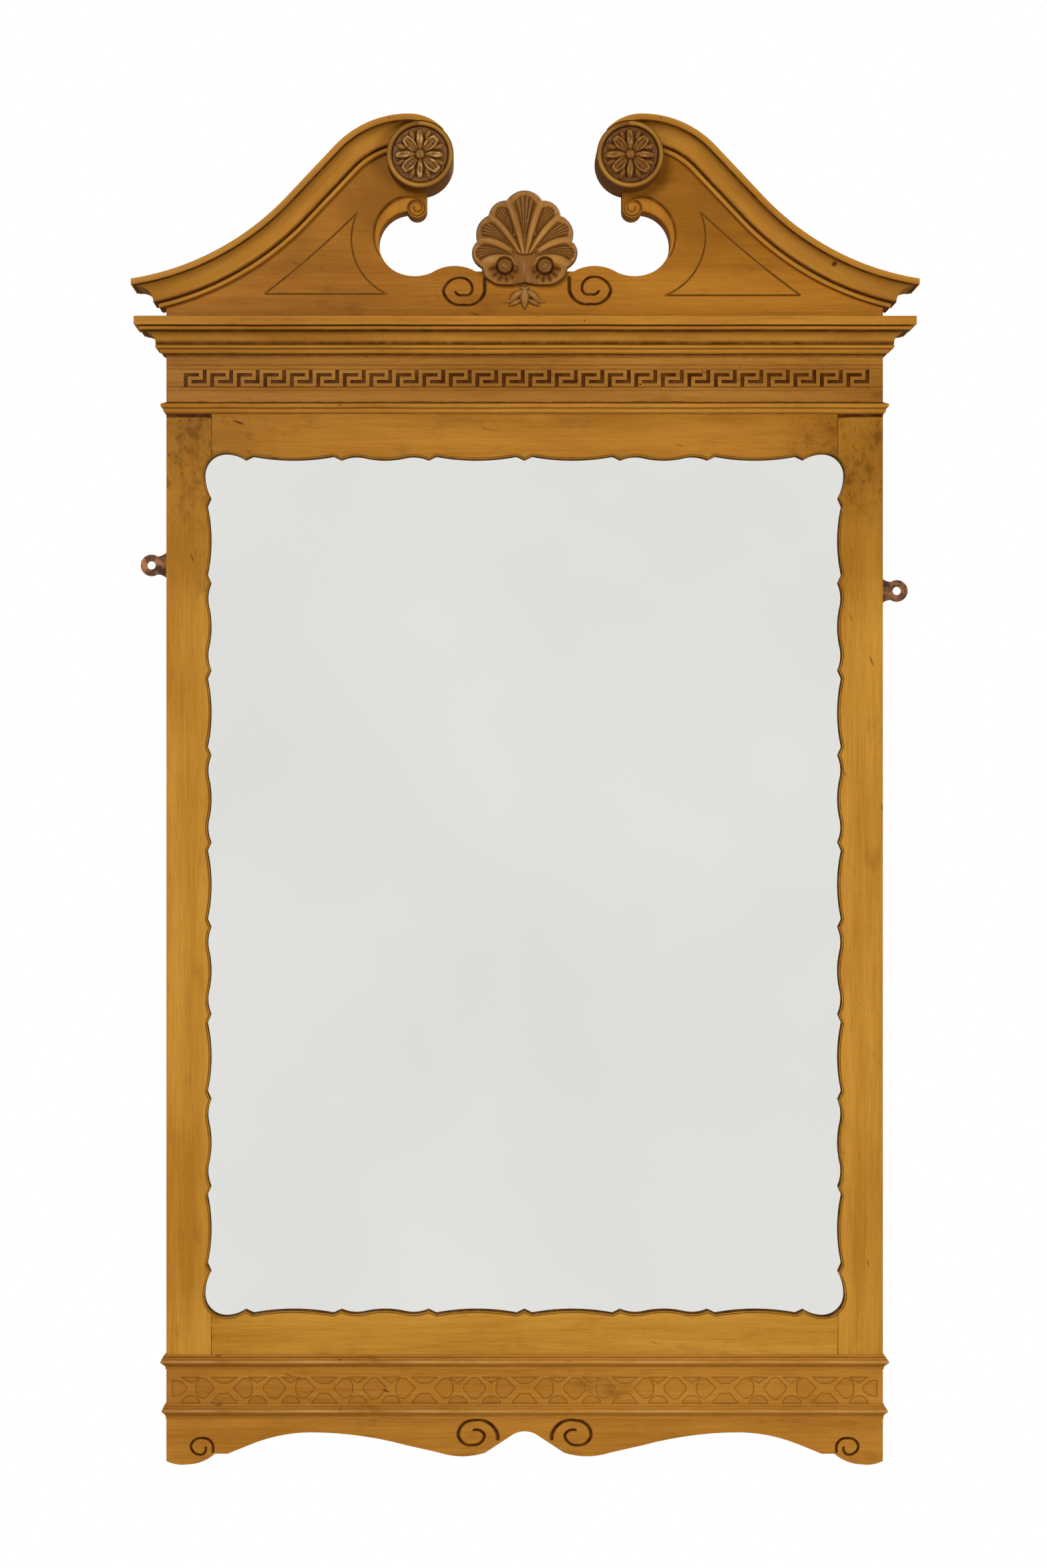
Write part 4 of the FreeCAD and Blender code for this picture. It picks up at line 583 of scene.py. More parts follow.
def sunk_mask(tree, shallow, deep, strength):
    """Mask of glaze and painted shade on carved floors and their walls, which lie behind the board's front by
    a little.
    """
    depth = plus(along_axis(object_place(tree), "Y"), BOARD * MM)
    sunk = between(depth, shallow * MM, deep * MM, 0.0, strength)
    return times(sunk, between(depth, 3.0 * MM, 4.0 * MM, 1.0, 0.0))


def dark_band(tree, axis, low, high, strength=1.0, broken=False):
    """Mask of a dark line between two places along one axis, on the front and sides only: board seams, and
    painted shade under mouldings.
    """
    place = object_place(tree)
    ragged = times(less(cloud(place, 90.0, 4.0, 0.6), 0.5), RAGGED * MM)
    value = plus(along_axis(place, axis), ragged)
    soft = 0.25 * MM
    band = between(value, low * MM - soft, low * MM + soft, 0.0, strength)
    band = times(band, between(value, high * MM - soft, high * MM + soft, 1.0, 0.0))
    if broken:
        band = times(band, between(cloud(place, 22.0, 2.0, 0.5), 0.45, 0.55))
    return times(band, between(along_axis(place, "Y"), -1.0 * MM, -0.3 * MM, 1.0, 0.0))


def far_out(tree, axis, low, high, strength=1.0):
    """Grows from 0 to the strength between two places along one axis."""
    return between(along_axis(object_place(tree), axis), low * MM, high * MM, 0.0, strength)


def wood_material(
    name, way, tones=HONEY, rubbed_and_lit=RUBBED_AND_LIT, marks=0.8, groove=None, joints=(), darkenings=(), dirt=None, gloss=0.0,
    polish=0.0,
):
    """Polished antique wood: grain, glaze and painted shade in the hollows, arrises worn pale with painted
    highlights, and age marks under a satin coat.
    """
    material, tree, shader = new_material(name)
    vector = grain_vector(tree, way)
    grain = place_group(tree, GRAIN, {"Vector": vector, "Light": tones[0], "Dark": tones[1]})
    amount = plus(far_out(tree, *dirt), marks) if dirt else marks
    aged = place_group(tree, MARKS, {"Vector": vector, "Amount": amount})["Mask"]
    held = [mesh_value(tree, "recess"), aged]
    if groove:
        held.append(sunk_mask(tree, *groove))
    held += [dark_band(tree, *dark_line) for dark_line in joints]
    inputs = {"Vector": vector, "Color": grain["Color"], "Roughness": less(grain["Roughness"], polish)}
    inputs.update({"Recess": most_of(*held), "Edge": mesh_value(tree, "edge"), "Rubbed_and_lit": rubbed_and_lit})
    if darkenings:
        inputs["Darkening"] = most_of(*[far_out(tree, *darkening) for darkening in darkenings])
    finish = place_group(tree, ANTIQUE, inputs)
    feed(shader, {"Base Color": finish["Color"], "Roughness": finish["Roughness"]})
    feed(shader, {"Normal": bumped(less(grain["Height"], aged), 0.35, 0.4)})
    feed(shader, {"Coat Weight": 0.03, "Coat Roughness": 0.30, "Specular IOR Level": gloss})
    return material


def make_mirror_material():
    """Silvered glass: a clean reflection, a faint veil, foxing that gathers in places, and a painted back."""
    material, tree, shader = new_material("silvered_glass")
    vector = grain_vector(tree, "across")
    veil = cloud(vector, 3.0, 3.0, 0.5)
    colour = blend_colour(between(veil, 0.3, 0.7), *SILVER)
    gathered = between(cloud(vector, 4.0, 2.0, 0.5), 0.52, 0.68, 0.0, 0.6)
    specks = times(scattered(vector, 60.0, 0.015, 0.05, 1.0, 0.86, 0.9), gathered)
    colour = blend_colour(specks, colour, FOXING)
    depth = along_axis(object_place(tree), "Y")
    painted = between(depth, (GLASS_FRONT + 0.5) * MM, (GLASS_FRONT + 0.9) * MM)
    colour = blend_colour(painted, colour, BACK_PAINT)
    rough = most_of(between(veil, 0.2, 0.8, 0.015, 0.05), times(painted, 0.8))
    feed(shader, {"Base Color": colour, "Roughness": rough, "Metallic": less(1.0, painted)})
    return material


def metal_material(name, tones, rough):
    """Old metal: bright where it is rubbed, dull and browned elsewhere."""
    material, tree, shader = new_material(name)
    vector = object_place(tree)
    tarnish = cloud(vector, 140.0, 5.0, 0.6)
    feed(shader, {"Base Color": blend_colour(between(tarnish, 0.35, 0.65), *tones)})
    feed(shader, {"Roughness": between(tarnish, 0.3, 0.7, rough, rough + 0.25)})
    feed(shader, {"Metallic": between(tarnish, 0.3, 0.75, 1.0, 0.6)})
    feed(shader, {"Normal": bumped(cloud(vector, 900.0, 2.0, 0.5), 0.3, 0.2)})
    return material


# Boards, glass, back and metalwork, which keep their solids
# Dark lines (board seams, and painted shade under mouldings) are (axis, low, high, strength, broken),
# darkening and soil (axis, none, full, strength), in millimetres

# Painted shade across the stiles under the astragal
STILE_TOP_SHADE = [("Z", 450.4, 453.9)]
# Stiles darker towards the top
STILE_DARKENING = [("Z", 200.0, 460.0)]
STILE_SOIL = ("Z", 290.0, 430.0, 1.4)
RAIL_JOINT = [("X", STILE_EDGE - 0.5, STILE_EDGE + 0.5)]
# Top rail darker towards its ends, and with dirt and painted shade under the astragal
RAIL_DARKENING = [("X", 190.0, 330.0), ("Z", 432.0, 454.0, 0.7)]
RAIL_SOIL = ("X", 200.0, 310.0, 1.2)
PEDIMENT_JOINT = [("Z", CORNICE_TOP - 0.5, CORNICE_TOP + 0.9, 1.0, True)]
# Pediment darker towards the top
PEDIMENT_DARKENING = [("Z", 565.0, 640.0)]
# Glaze and painted shade in the key's slots, by depth
KEY_SLOTS = (1.2, 1.8, 0.95)
# Painted shade lines at the key frieze's steps and along the mouldings above and below it
KEY_LINES = [
    ("Z", 507.8, 511.0, 0.5), ("Z", 499.8, 501.8, 0.32), ("Z", 496.3, 497.5, 0.32), ("Z", 479.2, 480.4, 0.45),
    ("Z", 475.8, 477.2, 0.22), ("Z", 463.8, 465.6, 0.85),
]


def give(names, material):
    """Put a material on CAD nodes that stay as they are."""
    for name in names:
        mesh = nodes[name].data
        mesh.materials.clear()
        mesh.materials.append(material)


def sides(*names):
    return [f"{side}_{name}" for name in names for side, _ in SIDES]


def finish_boards():
    stile = wood_material("stile_wood", "upright", joints=STILE_TOP_SHADE, darkenings=STILE_DARKENING, dirt=STILE_SOIL)
    give(sides("stile"), stile)
    aged = {"joints": RAIL_JOINT, "darkenings": RAIL_DARKENING, "dirt": RAIL_SOIL}
    give(["top_rail"], wood_material("top_rail_wood", "across", UPPER, **aged))
    give(["bottom_rail"], wood_material("bottom_rail_wood", "across", joints=RAIL_JOINT))
    aged = {"marks": 1.0, "groove": KEY_SLOTS, "joints": KEY_LINES}
    give(["key_frieze"], wood_material("key_wood", "across", KEY, **aged))
    aged = {"joints": PEDIMENT_JOINT, "darkenings": PEDIMENT_DARKENING}
    give(["pediment_board"], wood_material("pediment_wood", "across", TOP, **aged))
    give(["apron"], wood_material("apron_wood", "across", FRIEZE, marks=1.1))
    give(["mirror_plate"], make_mirror_material())
    back = wood_material("back_wood", "upright", BACK, marks=1.0)
    give(sides("backboard", "upper_batten", "lower_batten") + ["centre_backboard", "glass_blocks"], back)
    give(sides("wall_plate"), metal_material("browned_brass", BRASS, 0.42))
    iron = metal_material("old_iron", IRON, 0.5)
    give(["backboard_nails", "batten_screws", "wall_plate_screws"], iron)


# Straight mouldings, mitred round the frame, with sections of (projection, level)

# Glaze and painted shade lie at these places of each section, as (reach, level, spread, strength)
CORNICE_GLAZE_AND_SHADE = [(22.6, 16.0, 1.1, 0.75), (19.6, 11.2, 4.0, 0.95), (9.5, 0.6, 3.0, 0.95)]
# Painted light that brightens the middle of the cornice's cove
CORNICE_PAINTED_LIGHT = [(13.0, 4.8, 3.6, 1.0)]
CORNICE_SECTION = [
    (0, 24.6), (28.5, 24.6), (28.5, 16.5), (22.6, 16.5), (22.6, 15.6, 1), (22.6, 12.2), (20.3, 12.2),
    (20.3, 11.3, -0.45), (9.5, QUIRK), (9.5, 0), (0, 0),
]
BED_FOOT = HALF_HEIGHT + 50.75
BED_GLAZE_AND_SHADE = [(8.0, 9.25, 1.5, 0.8), (1.7, 0.5, 2.0, 0.9)]
BED_SECTION = [
    (0, 9.25), (8.0, 9.25, 1), (8.0, 5.45), (6.1, 5.45), (6.1, 4.55, 0.4), (1.7, QUIRK), (1.7, 0), (0, 0),
]
ASTRAGAL_FOOT = HALF_HEIGHT - 5.85
ASTRAGAL_GLAZE_AND_SHADE = [(2.4, 10.5, 1.7, 0.9), (1.1, 0.3, 1.2, 0.6)]
ASTRAGAL_SECTION = [
    (0, 11.0), (2.1, 11.0), (2.1, 10.1), (3.05, 10.1, 1), (3.05, 5.6), (2.6, 5.6), (2.6, 4.7, 0.4),
    (1.1, QUIRK), (1.1, 0), (0, 0),
]
FRET_BEADS = (("upper", 5.3, 6.55), ("lower", 4.3, 47.5 + 6.55))


def fret_bead_section(reach):
    seat = reach - 2.0
    return [
        (0, 14.1), (reach * 0.25, 14.1), (reach * 0.25, 11.85), (seat, 10.95), (seat, 9.6, 1), (seat, 5.6),
        (seat, 4.7, -0.35), (reach * 0.15, QUIRK), (reach * 0.15, 0), (0, 0),
    ]


def hand_drift(along):
    """A hand-worked edge: slow waves a tenth of a millimetre high."""
    return 0.07 * np.sin(along / 31.0) + 0.05 * np.sin(along / 11.3 + 1.7)


def side_patch(reach, level, recess, edge, across, way):
    """A section carried from the mitre at one end of the front back to the wall."""
    y = -(BOARD + reach) * (1 - np.linspace(0, 1, RETURN_STEPS)[None, :])
    x = way * (HALF_WIDTH + reach)
    return Patch(x, y, level, recess, edge, (y, across), wrap_rows=True, caps=BOTH_ENDS)


def make_moulding(name, corners, foot, material, glazed_and_shaded=(), rubbed_and_lit=()):
    """A section carried along the front between two mitres, and back to the wall on each side."""
    section, recess, edge, run = soft_section(corners, glazed_and_shaded, rubbed_and_lit)
    reach = np.maximum(section[:, :1], 0)
    level = foot + section[:, 1:]
    x = np.linspace(-1, 1, FRONT_STEPS)[None, :] * (HALF_WIDTH + reach)
    z = level + hand_drift(x) * (reach > 0.5)
    front = Patch(x, -BOARD - reach, z, recess, edge, (x, run), wrap_rows=True, caps=BOTH_ENDS)
    build_piece(f"{name}_front_face", [front], material, [f"{name}_front"])
    for side, way in SIDES:
        back = side_patch(reach, level, recess, edge, run, way)
        build_piece(f"{side}_{name}_side", [back], material, [f"{side}_{name}_return"])


def make_mouldings():
    upper = wood_material("upper_moulding_wood", "along", UPPER)
    make_moulding("cornice", CORNICE_SECTION, CORNICE_FOOT, upper, CORNICE_GLAZE_AND_SHADE, CORNICE_PAINTED_LIGHT)
    make_moulding("bed_moulding", BED_SECTION, BED_FOOT, upper, BED_GLAZE_AND_SHADE)
    make_moulding("astragal", ASTRAGAL_SECTION, ASTRAGAL_FOOT, upper, ASTRAGAL_GLAZE_AND_SHADE)
    lower = wood_material("lower_moulding_wood", "along", FRIEZE, BEAD_HIGHLIGHT, marks=1.2)
    for name, reach, foot in FRET_BEADS:
        section = fret_bead_section(reach)
        shade = [(reach * 0.5, 3.4, 2.6, 0.5)]
        # A painted highlight along each bead's crown
        crown = [(reach, 8.2, 1.4, 1.0)]
        make_moulding(f"{name}_fret_bead", section, -(HALF_HEIGHT + foot), lower, shade, crown)


# Swan necks, with sections of (projection, distance in from the outer edge)

SWEEP_RADIUS = 259.3
TIP_SLOPE = math.radians(5.6)
NECK_SLOPE = math.radians(46.65)
NECK_PROJECTION = 31.0
TIP_OVER = 14.7
TIP_RISE = 42.0
CROWN_RADIUS = 97.2
CROWN_OFFSET = 10.6
CREST_COVER = 6.3
SWEEP_X = -(HALF_WIDTH + NECK_PROJECTION + TIP_OVER + SWEEP_RADIUS * math.sin(TIP_SLOPE))
SWEEP_GAP = -SWEEP_X - HALF_WIDTH
SWEEP_Z = CORNICE_TOP + TIP_RISE + math.sqrt(SWEEP_RADIUS**2 - SWEEP_GAP**2)
CROWN_X = -(DRUM_X + CROWN_OFFSET)
RUN_START = (SWEEP_X + SWEEP_RADIUS * math.sin(NECK_SLOPE), SWEEP_Z - SWEEP_RADIUS * math.cos(NECK_SLOPE))
RUN_END_X = CROWN_X - CROWN_RADIUS * math.sin(NECK_SLOPE)
RUN_END_Z = RUN_START[1] + (RUN_END_X - RUN_START[0]) * math.tan(NECK_SLOPE)
CROWN_Z = RUN_END_Z - CROWN_RADIUS * math.cos(NECK_SLOPE)
CREST_Z = CROWN_Z + CROWN_RADIUS
DRUM_Z = CREST_Z - CREST_COVER - DRUM_RADIUS
TAIL_RADIUS = (CROWN_OFFSET**2 + (CREST_COVER + DRUM_RADIUS) ** 2 - DRUM_RADIUS**2) / (CREST_COVER * 2)
TAIL_Z = CREST_Z - TAIL_RADIUS
TAIL_END = 0.7 * DRUM_RADIUS - DRUM_X
BEAD_RADIUS = 2.45
BEAD_SEAT = 4.5
NECK_WIDTH = 5.8 + QUIRK + 16.4 + QUIRK + BEAD_RADIUS * 2
# Glaze and painted shade under the neck's fillet and above its bead
NECK_GLAZE_AND_SHADE = [(28.2, 6.4, 2.8, 0.95), (5.0, 23.1, 2.8, 0.9), (11.0, 23.1, 1.8, 0.8)]
# Painted light that brightens the middle of the neck's cove
NECK_PAINTED_LIGHT = [(18.5, 14.5, 6.5, 1.0)]
NECK_SECTION = [
    (0, 0), (NECK_PROJECTION, 0), (NECK_PROJECTION, 5.8), (28.2, 5.8), (28.2, 6.7, -0.42), (11.5, 23.1),
    (BEAD_SEAT, 23.1), (BEAD_SEAT, NECK_WIDTH), (0, NECK_WIDTH),
]
WORM_HOLES = [(296.0, 595.0, 2.9), (-238.0, 604.0, 1.4), (158.0, 622.0, 1.5)]


def inner_arc(x, z, radius, turn, inset):
    """Points inside an arc by the inset, or by less where the line towards its middle meets the drum.

    The turn is the angle from the X axis at the middle (x, z).
    """
    across = np.cos(turn)
    up = np.sin(turn)
    offset = np.array([x + DRUM_X, z - DRUM_Z])
    lean = offset[0] * across + offset[1] * up
    inside = lean**2 - offset @ offset + DRUM_RADIUS**2
    reach = -lean + np.sqrt(np.maximum(inside, 0))
    radius = radius - np.where(inside > 0, np.minimum(inset, radius - reach), inset)
    return x + radius * across, z + radius * up


def neck_grid(inset, reach):
    """Places (x, z) of the left neck for each section point and station, and the run along the neck.

    Round the tail and the crown the point lies on an arc of the arc's radius less the inset, then on the
    straight run, then on the sweep's radius plus the inset, as far as the mitre at the tip.
    """
    inset = inset[:, None]
    start = math.acos((TAIL_END - CROWN_X) / TAIL_RADIUS)
    turn = np.linspace(start, math.pi / 2, TAIL_STEPS, endpoint=False)[None, :]
    tail = inner_arc(CROWN_X, TAIL_Z, TAIL_RADIUS, turn, inset)
    turn = np.linspace(0, NECK_SLOPE, CROWN_STEPS, endpoint=False)[None, :] + math.pi / 2
    crown = inner_arc(CROWN_X, CROWN_Z, CROWN_RADIUS, turn, inset)
    share = np.linspace(0, 1, RUN_STEPS, endpoint=False)[None, :]
    line_x = RUN_END_X + (RUN_START[0] - RUN_END_X) * share
    line_z = RUN_END_Z + (RUN_START[1] - RUN_END_Z) * share
    straight = (line_x + math.sin(NECK_SLOPE) * inset, line_z - math.cos(NECK_SLOPE) * inset)
    radius = SWEEP_RADIUS + inset
    last = np.arcsin((SWEEP_GAP - reach[:, None]) / radius)
    turn = NECK_SLOPE + (last - NECK_SLOPE) * np.linspace(0, 1, SWEEP_STEPS)[None, :]
    sweep = (SWEEP_X + radius * np.sin(turn), SWEEP_Z - radius * np.cos(turn))
    x, z = (np.concatenate(parts, axis=1) for parts in zip(tail, crown, straight, sweep))
    return x, z, run_along(np.stack([x[0], z[0]], axis=1))


def neck_patch(section, recess, edge, across, way, holes=(), crown=None):
    """A section carried along one neck, with worm holes at (x, z, radius).

    A bead starts where its crown, the point of that number, comes clear of the drum.
    """
    reach = np.round(np.maximum(section[:, 0], 0), 2)
    x, z, along = neck_grid(np.clip(section[:, 1], 0, NECK_WIDTH), reach)
    if crown is not None:
        start = np.argmax(np.hypot(x[crown] - x[-1], z[crown] - z[-1]) > HAIR)
        x, z, along = x[:, start:], z[:, start:], along[start:]
    x = -way * x
    dark = recess[:, None]
    for hole_x, hole_z, radius in holes:
        apart = np.hypot(x - hole_x, z - hole_z)
        dark = np.maximum(dark, 1 - smooth_step(radius * 0.5, radius, apart))
    grain = (along[None, :], across)
    return Patch(x, -BOARD - reach[:, None], z, dark, edge, grain, wrap_rows=True, caps=BOTH_ENDS)


def neck_return_patch(section, recess, edge, across, way):
    """The neck's section carried from the mitre at the tip back to the wall."""
    reach = np.maximum(section[:, :1], 0)
    inset = np.clip(section[:, 1:], 0, NECK_WIDTH)
    level = SWEEP_Z - np.sqrt((SWEEP_RADIUS + inset) ** 2 - (SWEEP_GAP - reach) ** 2)
    return side_patch(reach, level, recess, edge, across, way)


def bead_section():
    """The half-round bead under a neck, its recess, its edge and the distance across."""
    turn = np.linspace(-math.pi / 2, math.pi / 2, BEAD_POINTS)
    reach = BEAD_SEAT + BEAD_RADIUS * np.cos(turn)
    inset = NECK_WIDTH - BEAD_RADIUS + BEAD_RADIUS * np.sin(turn)
    # Painted shade towards the bead's sides, more on its inner side, and a painted highlight along its crown
    recess = np.abs(turn) / (math.pi / 2) + np.where(turn > 0, 0.14, 0.0)
    edge = 1 - smooth_step(0.0, 0.5, np.abs(turn))
    return np.stack([reach, inset], axis=1), smooth_step(0.62, 0.98, recess), edge, inset


def make_swan_necks():
    wood = wood_material("neck_wood", "along", UPPER)
    section = soft_section(NECK_SECTION, NECK_GLAZE_AND_SHADE, NECK_PAINTED_LIGHT)
    bead = bead_section()
    for side, way in SIDES:
        moulding = neck_patch(*section, way, WORM_HOLES)
        build_piece(f"{side}_neck_moulding", [moulding], wood, [f"{side}_swan_neck"])
        crowned = neck_patch(*bead, way, crown=BEAD_POINTS // 2)
        build_piece(f"{side}_neck_bead", [crowned], wood, [f"{side}_rope_bead"])
        ends = [neck_return_patch(*section, way), neck_return_patch(*bead, way)]
        build_piece(f"{side}_neck_side", ends, wood, [f"{side}_neck_return"])


# Lines and strips carried along a path, with sections of (offset to the left, y, how dark)

# A dark strip of painted shade and painted reflection round the opening's edge
OPENING_SHADE_SECTION = [
    (-0.12, -18.1, 0.92), (-0.12, -25.2, 0.85), (0.15, -25.82, 0.85), (0.7, -26.06, 0.80),
    (1.5, -26.05, 0.62), (2.3, -25.9, 0.3), (2.1, -25.6, 0.0), (0.8, -18.1, 0.9),
]
# Glaze and painted shade darken the gouges' V
GOUGE = [
    (-1, -26.03, 0.6), (-0.62, -26.02, 0.9), (-0.3, -25.6, 1.0), (0, -24.95, 1.0), (0.3, -25.6, 1.0),
    (0.62, -26.02, 0.9), (1, -26.03, 0.6), (0, -24.6, 1.0),
]
FOOT_REACHES = [10.7, 7.9, 10.7, 7.9, 3.5]
DROP_REACHES = [24.0, 14.0, 14.0, 9.6, 11.4, 4.5]
TOP_REACHES = [20.5, 13.2, 19.48, 12.54, 8.2, 3.8, 8.2]
TOP_SCROLLS = {"left": (58.8, 27.9), "right": (63.6, 28.8)}
PANEL_BOW = 0.035
PANEL_HOLLOW = -0.43
PANELS = {
    "left": ((-160.7, CORNICE_TOP + 103.9), (-250.6, CORNICE_TOP + 25.2), (-132.4, CORNICE_TOP + 25.2)),
    "right": ((-169.0, CORNICE_TOP + 104.6), (-265.8, CORNICE_TOP + 23.8), (-135.2, CORNICE_TOP + 23.8)),
}


def carried(path, section, dark=1.0, widths=1.0, closed=False):
    """A closed section carried along a line of (x, z) points, its offsets multiplied by the widths there."""
    ahead = np.roll(path, -1, axis=0) - np.roll(path, 1, axis=0) if closed else np.gradient(path, axis=0)
    ahead /= np.linalg.norm(ahead, axis=1)[:, None]
    offset, y, recess = np.array(section).T[:, :, None]
    offset = offset * np.broadcast_to(widths, len(path))
    x = path[:, 0] - offset * ahead[:, 1]
    z = path[:, 1] + offset * ahead[:, 0]
    grain = (run_along(path)[None, :], offset)
    caps = () if closed else BOTH_ENDS
    return Patch(x, y, z, recess * dark, 0.0, grain, wrap_rows=True, wrap_columns=closed, caps=caps)


def swelling_marks(start, length):
    """A long shallow swelling that leaves a notch, as (along, depth, bend)."""
    return [(start, NOTCH, (TIP - NOTCH) * 2 / length)]


def wave_marks(start, length):
    """Hollow, swelling and hollow between two tips."""
    hollow = length * HOLLOW_SHARE
    crest = length - hollow * 2
    sag = -DIP_SAG * 2 / hollow
    swell = (start + hollow, DIP, (TIP - DIP) * 2 / crest)
    return [(start, TIP, sag), swell, (start + hollow + crest, DIP, sag)]


def corner_marks(half, corner):
    """The last tip and the start of the round corner lobe."""
    return [(half - corner, TIP, -TIP / (corner - LOBE) / 2), (half - LOBE, 0.0, 0.0)]


def side_marks():
    """From the end of the middle swelling of a stile to its corner lobe."""
    bump = SIDE_BUMP
    step = SIDE_STEP
    wave = (OPENING_RISE - SIDE_CORNER - bump * 2.5 - step * 5) / 2
    marks = []
    along = bump / 2
    for _ in range(2):
        marks += [(along, NOTCH, 0.0)] + wave_marks(along + step, wave) + [(along + step + wave, TIP, 0.0)]
        marks += swelling_marks(along + step * 2 + wave, bump)
        along += step * 2 + wave + bump
    return marks + [(along, NOTCH, 0.0)] + corner_marks(OPENING_RISE, SIDE_CORNER)


def rail_marks():
    """From the notch beside the middle tip of a rail to its corner lobe."""
    bump = RAIL_BUMP
    step = RAIL_STEP
    wave = OPENING_HALF - RAIL_CORNER - bump * 2 - step * 4
    marks = swelling_marks(step, bump) + [(step + bump, NOTCH, 0.0)]
    marks += wave_marks(step * 2 + bump, wave)
    along = step * 2 + bump + wave
    marks += [(along, TIP, 0.0)] + swelling_marks(along + step, bump) + [(along + step + bump, NOTCH, 0.0)]
    return marks + corner_marks(OPENING_HALF, RAIL_CORNER)


def whole_edge(marks, middle_bend, middle=()):
    """Marks of the whole edge between two corner lobes, from its upper half."""
    lower = []
    for index in range(len(marks) - 1, -1, -1):
        bend = marks[index - 1][2] if index else middle_bend
        lower.append((-marks[index][0], marks[index][1], bend))
    return lower + list(middle) + marks


def opening_corners():
    """The closed edge of the opening, clockwise from the lower left lobe; its half turn is the other half."""
    side = whole_edge(side_marks(), (TIP - NOTCH) * 2 / SIDE_BUMP)
    rail = whole_edge(rail_marks(), 0.0, [(0.0, TIP, 0.0)])
    half = [(LOBE - OPENING_HALF, -OPENING_RISE, QUARTER)]
    half += [(depth - OPENING_HALF, along, -bend) for along, depth, bend in side[:-1]]
    half += [(-OPENING_HALF, OPENING_RISE - LOBE, QUARTER)]
    half += [(along, OPENING_RISE - depth, -bend) for along, depth, bend in rail[:-1]]
    return half + [(-x, -z, bend) for x, z, bend in half]


def make_opening_edge():
    """The eased arris of the opening, dark with painted shade and the painted reflection of the frame's edge
    in the glass, from the glass round on to the front.
    """
    raw = outline(opening_corners(), 0.5)
    path = blurred(evenly(raw, int(run_along(raw)[-1])), 0.3, 1.0)
    wood = wood_material("opening_edge_shade_wood", "along", marks=0.0)
    build_piece("opening_edge_shade", [carried(path, OPENING_SHADE_SECTION, closed=True)], wood)


def scroll_corners(middle, level, reaches, lead, spin):
    """Middle line of an incised scroll: a straight lead, then quarter arcs at the given reaches."""
    turns = ((1, 0), (0, -spin), (-1, 0), (0, spin))
    corners = [(middle + reaches[0], level + lead * spin)]
    for index, reach in enumerate(reaches):
        across, up = turns[index % 4]
        corners.append((middle + reach * across, level + reach * up, QUARTER * spin))
    return corners


def gouged(corners, way, half, swell, dark=1.0):
    """A gouged line: a V between lips that lie on the board, dark with glaze and painted shade, wider where
    the line runs upright.
    """
    turned = [(way * -corner[0], corner[1], way * -sum(corner[2:])) for corner in corners]
    path = outline(turned, 0.5, closed=False)
    path = evenly(path, max(12, int(run_along(path)[-1] / 0.7)), closed=False)
    ahead = np.gradient(path, axis=0)
    upright = np.abs(ahead[:, 1]) / np.hypot(*ahead.T)
    fade = np.linspace(1, 0.15, len(path))
    number = np.arange(len(path))
    ends = np.minimum(1, np.minimum(number, number[::-1]) / 4 + 0.45)
    return carried(path, GOUGE, dark, (half + swell * upright * fade) * ends)


def panel_lines(apex, outer, inner):
    """The three lines of an incised panel, a hair apart where they meet."""
    foot = [(x, z + HAIR) for x, z in (outer, inner)]
    hollow = [(apex[0] + HAIR, apex[1], PANEL_HOLLOW), (inner[0] + HAIR, inner[1])]
    return [[(*apex, PANEL_BOW), outer], foot, hollow]


def make_incised_lines():
    """Scrolls of the apron and pediment, and the panels between them, as dark gouged lines."""
    wood = wood_material("gouged_wood", "along", FRIEZE, marks=0.0)
    foot = scroll_corners(-310.8, -540.35, FOOT_REACHES, 6.3, -1)
    drop = scroll_corners(-50.0, -529.45, DROP_REACHES, 5.2, -1)
    for side, way in SIDES:
        out, rise = TOP_SCROLLS[side]
        top = scroll_corners(-out, CORNICE_TOP + rise, TOP_REACHES, 13.5, 1)
        lines = [gouged(foot, way, 1.35, 0.25), gouged(drop, way, 1.5, 0.7), gouged(top, way, 1.4, 0.75)]
        build_piece(f"{side}_scroll_lines", lines, wood)
        lines = [gouged(line, way, 1.15, 0.0, 0.66) for line in panel_lines(*PANELS[side])]
        build_piece(f"{side}_panel_lines", lines, wood)


# Raised bands round the open scrolls of the pediment, with a curl at each scroll's end

CURL_RADIUS = 9.7
CURL_X = 6.3 - DRUM_X - CURL_RADIUS
CURL_Z = DRUM_Z - 46.0
CURL_START = 1.2
BAND_END = (-103.5, CORNICE_TOP + 116.2)
BAND_OUTER = [(-139.4, CORNICE_TOP + 61.3, 0.458), (-122.0, CORNICE_TOP + 117.7, 0.17), BAND_END]
BAND_NOTCH = (CURL_X - CURL_RADIUS * 0.94, CURL_Z - CURL_RADIUS * 0.34)
BAND_CUT = [(-123.7, CORNICE_TOP + 46.4, 0.74), BAND_NOTCH]
BAND_CURL = [(-113.0, CORNICE_TOP + 106.5, 0.458), BAND_END]


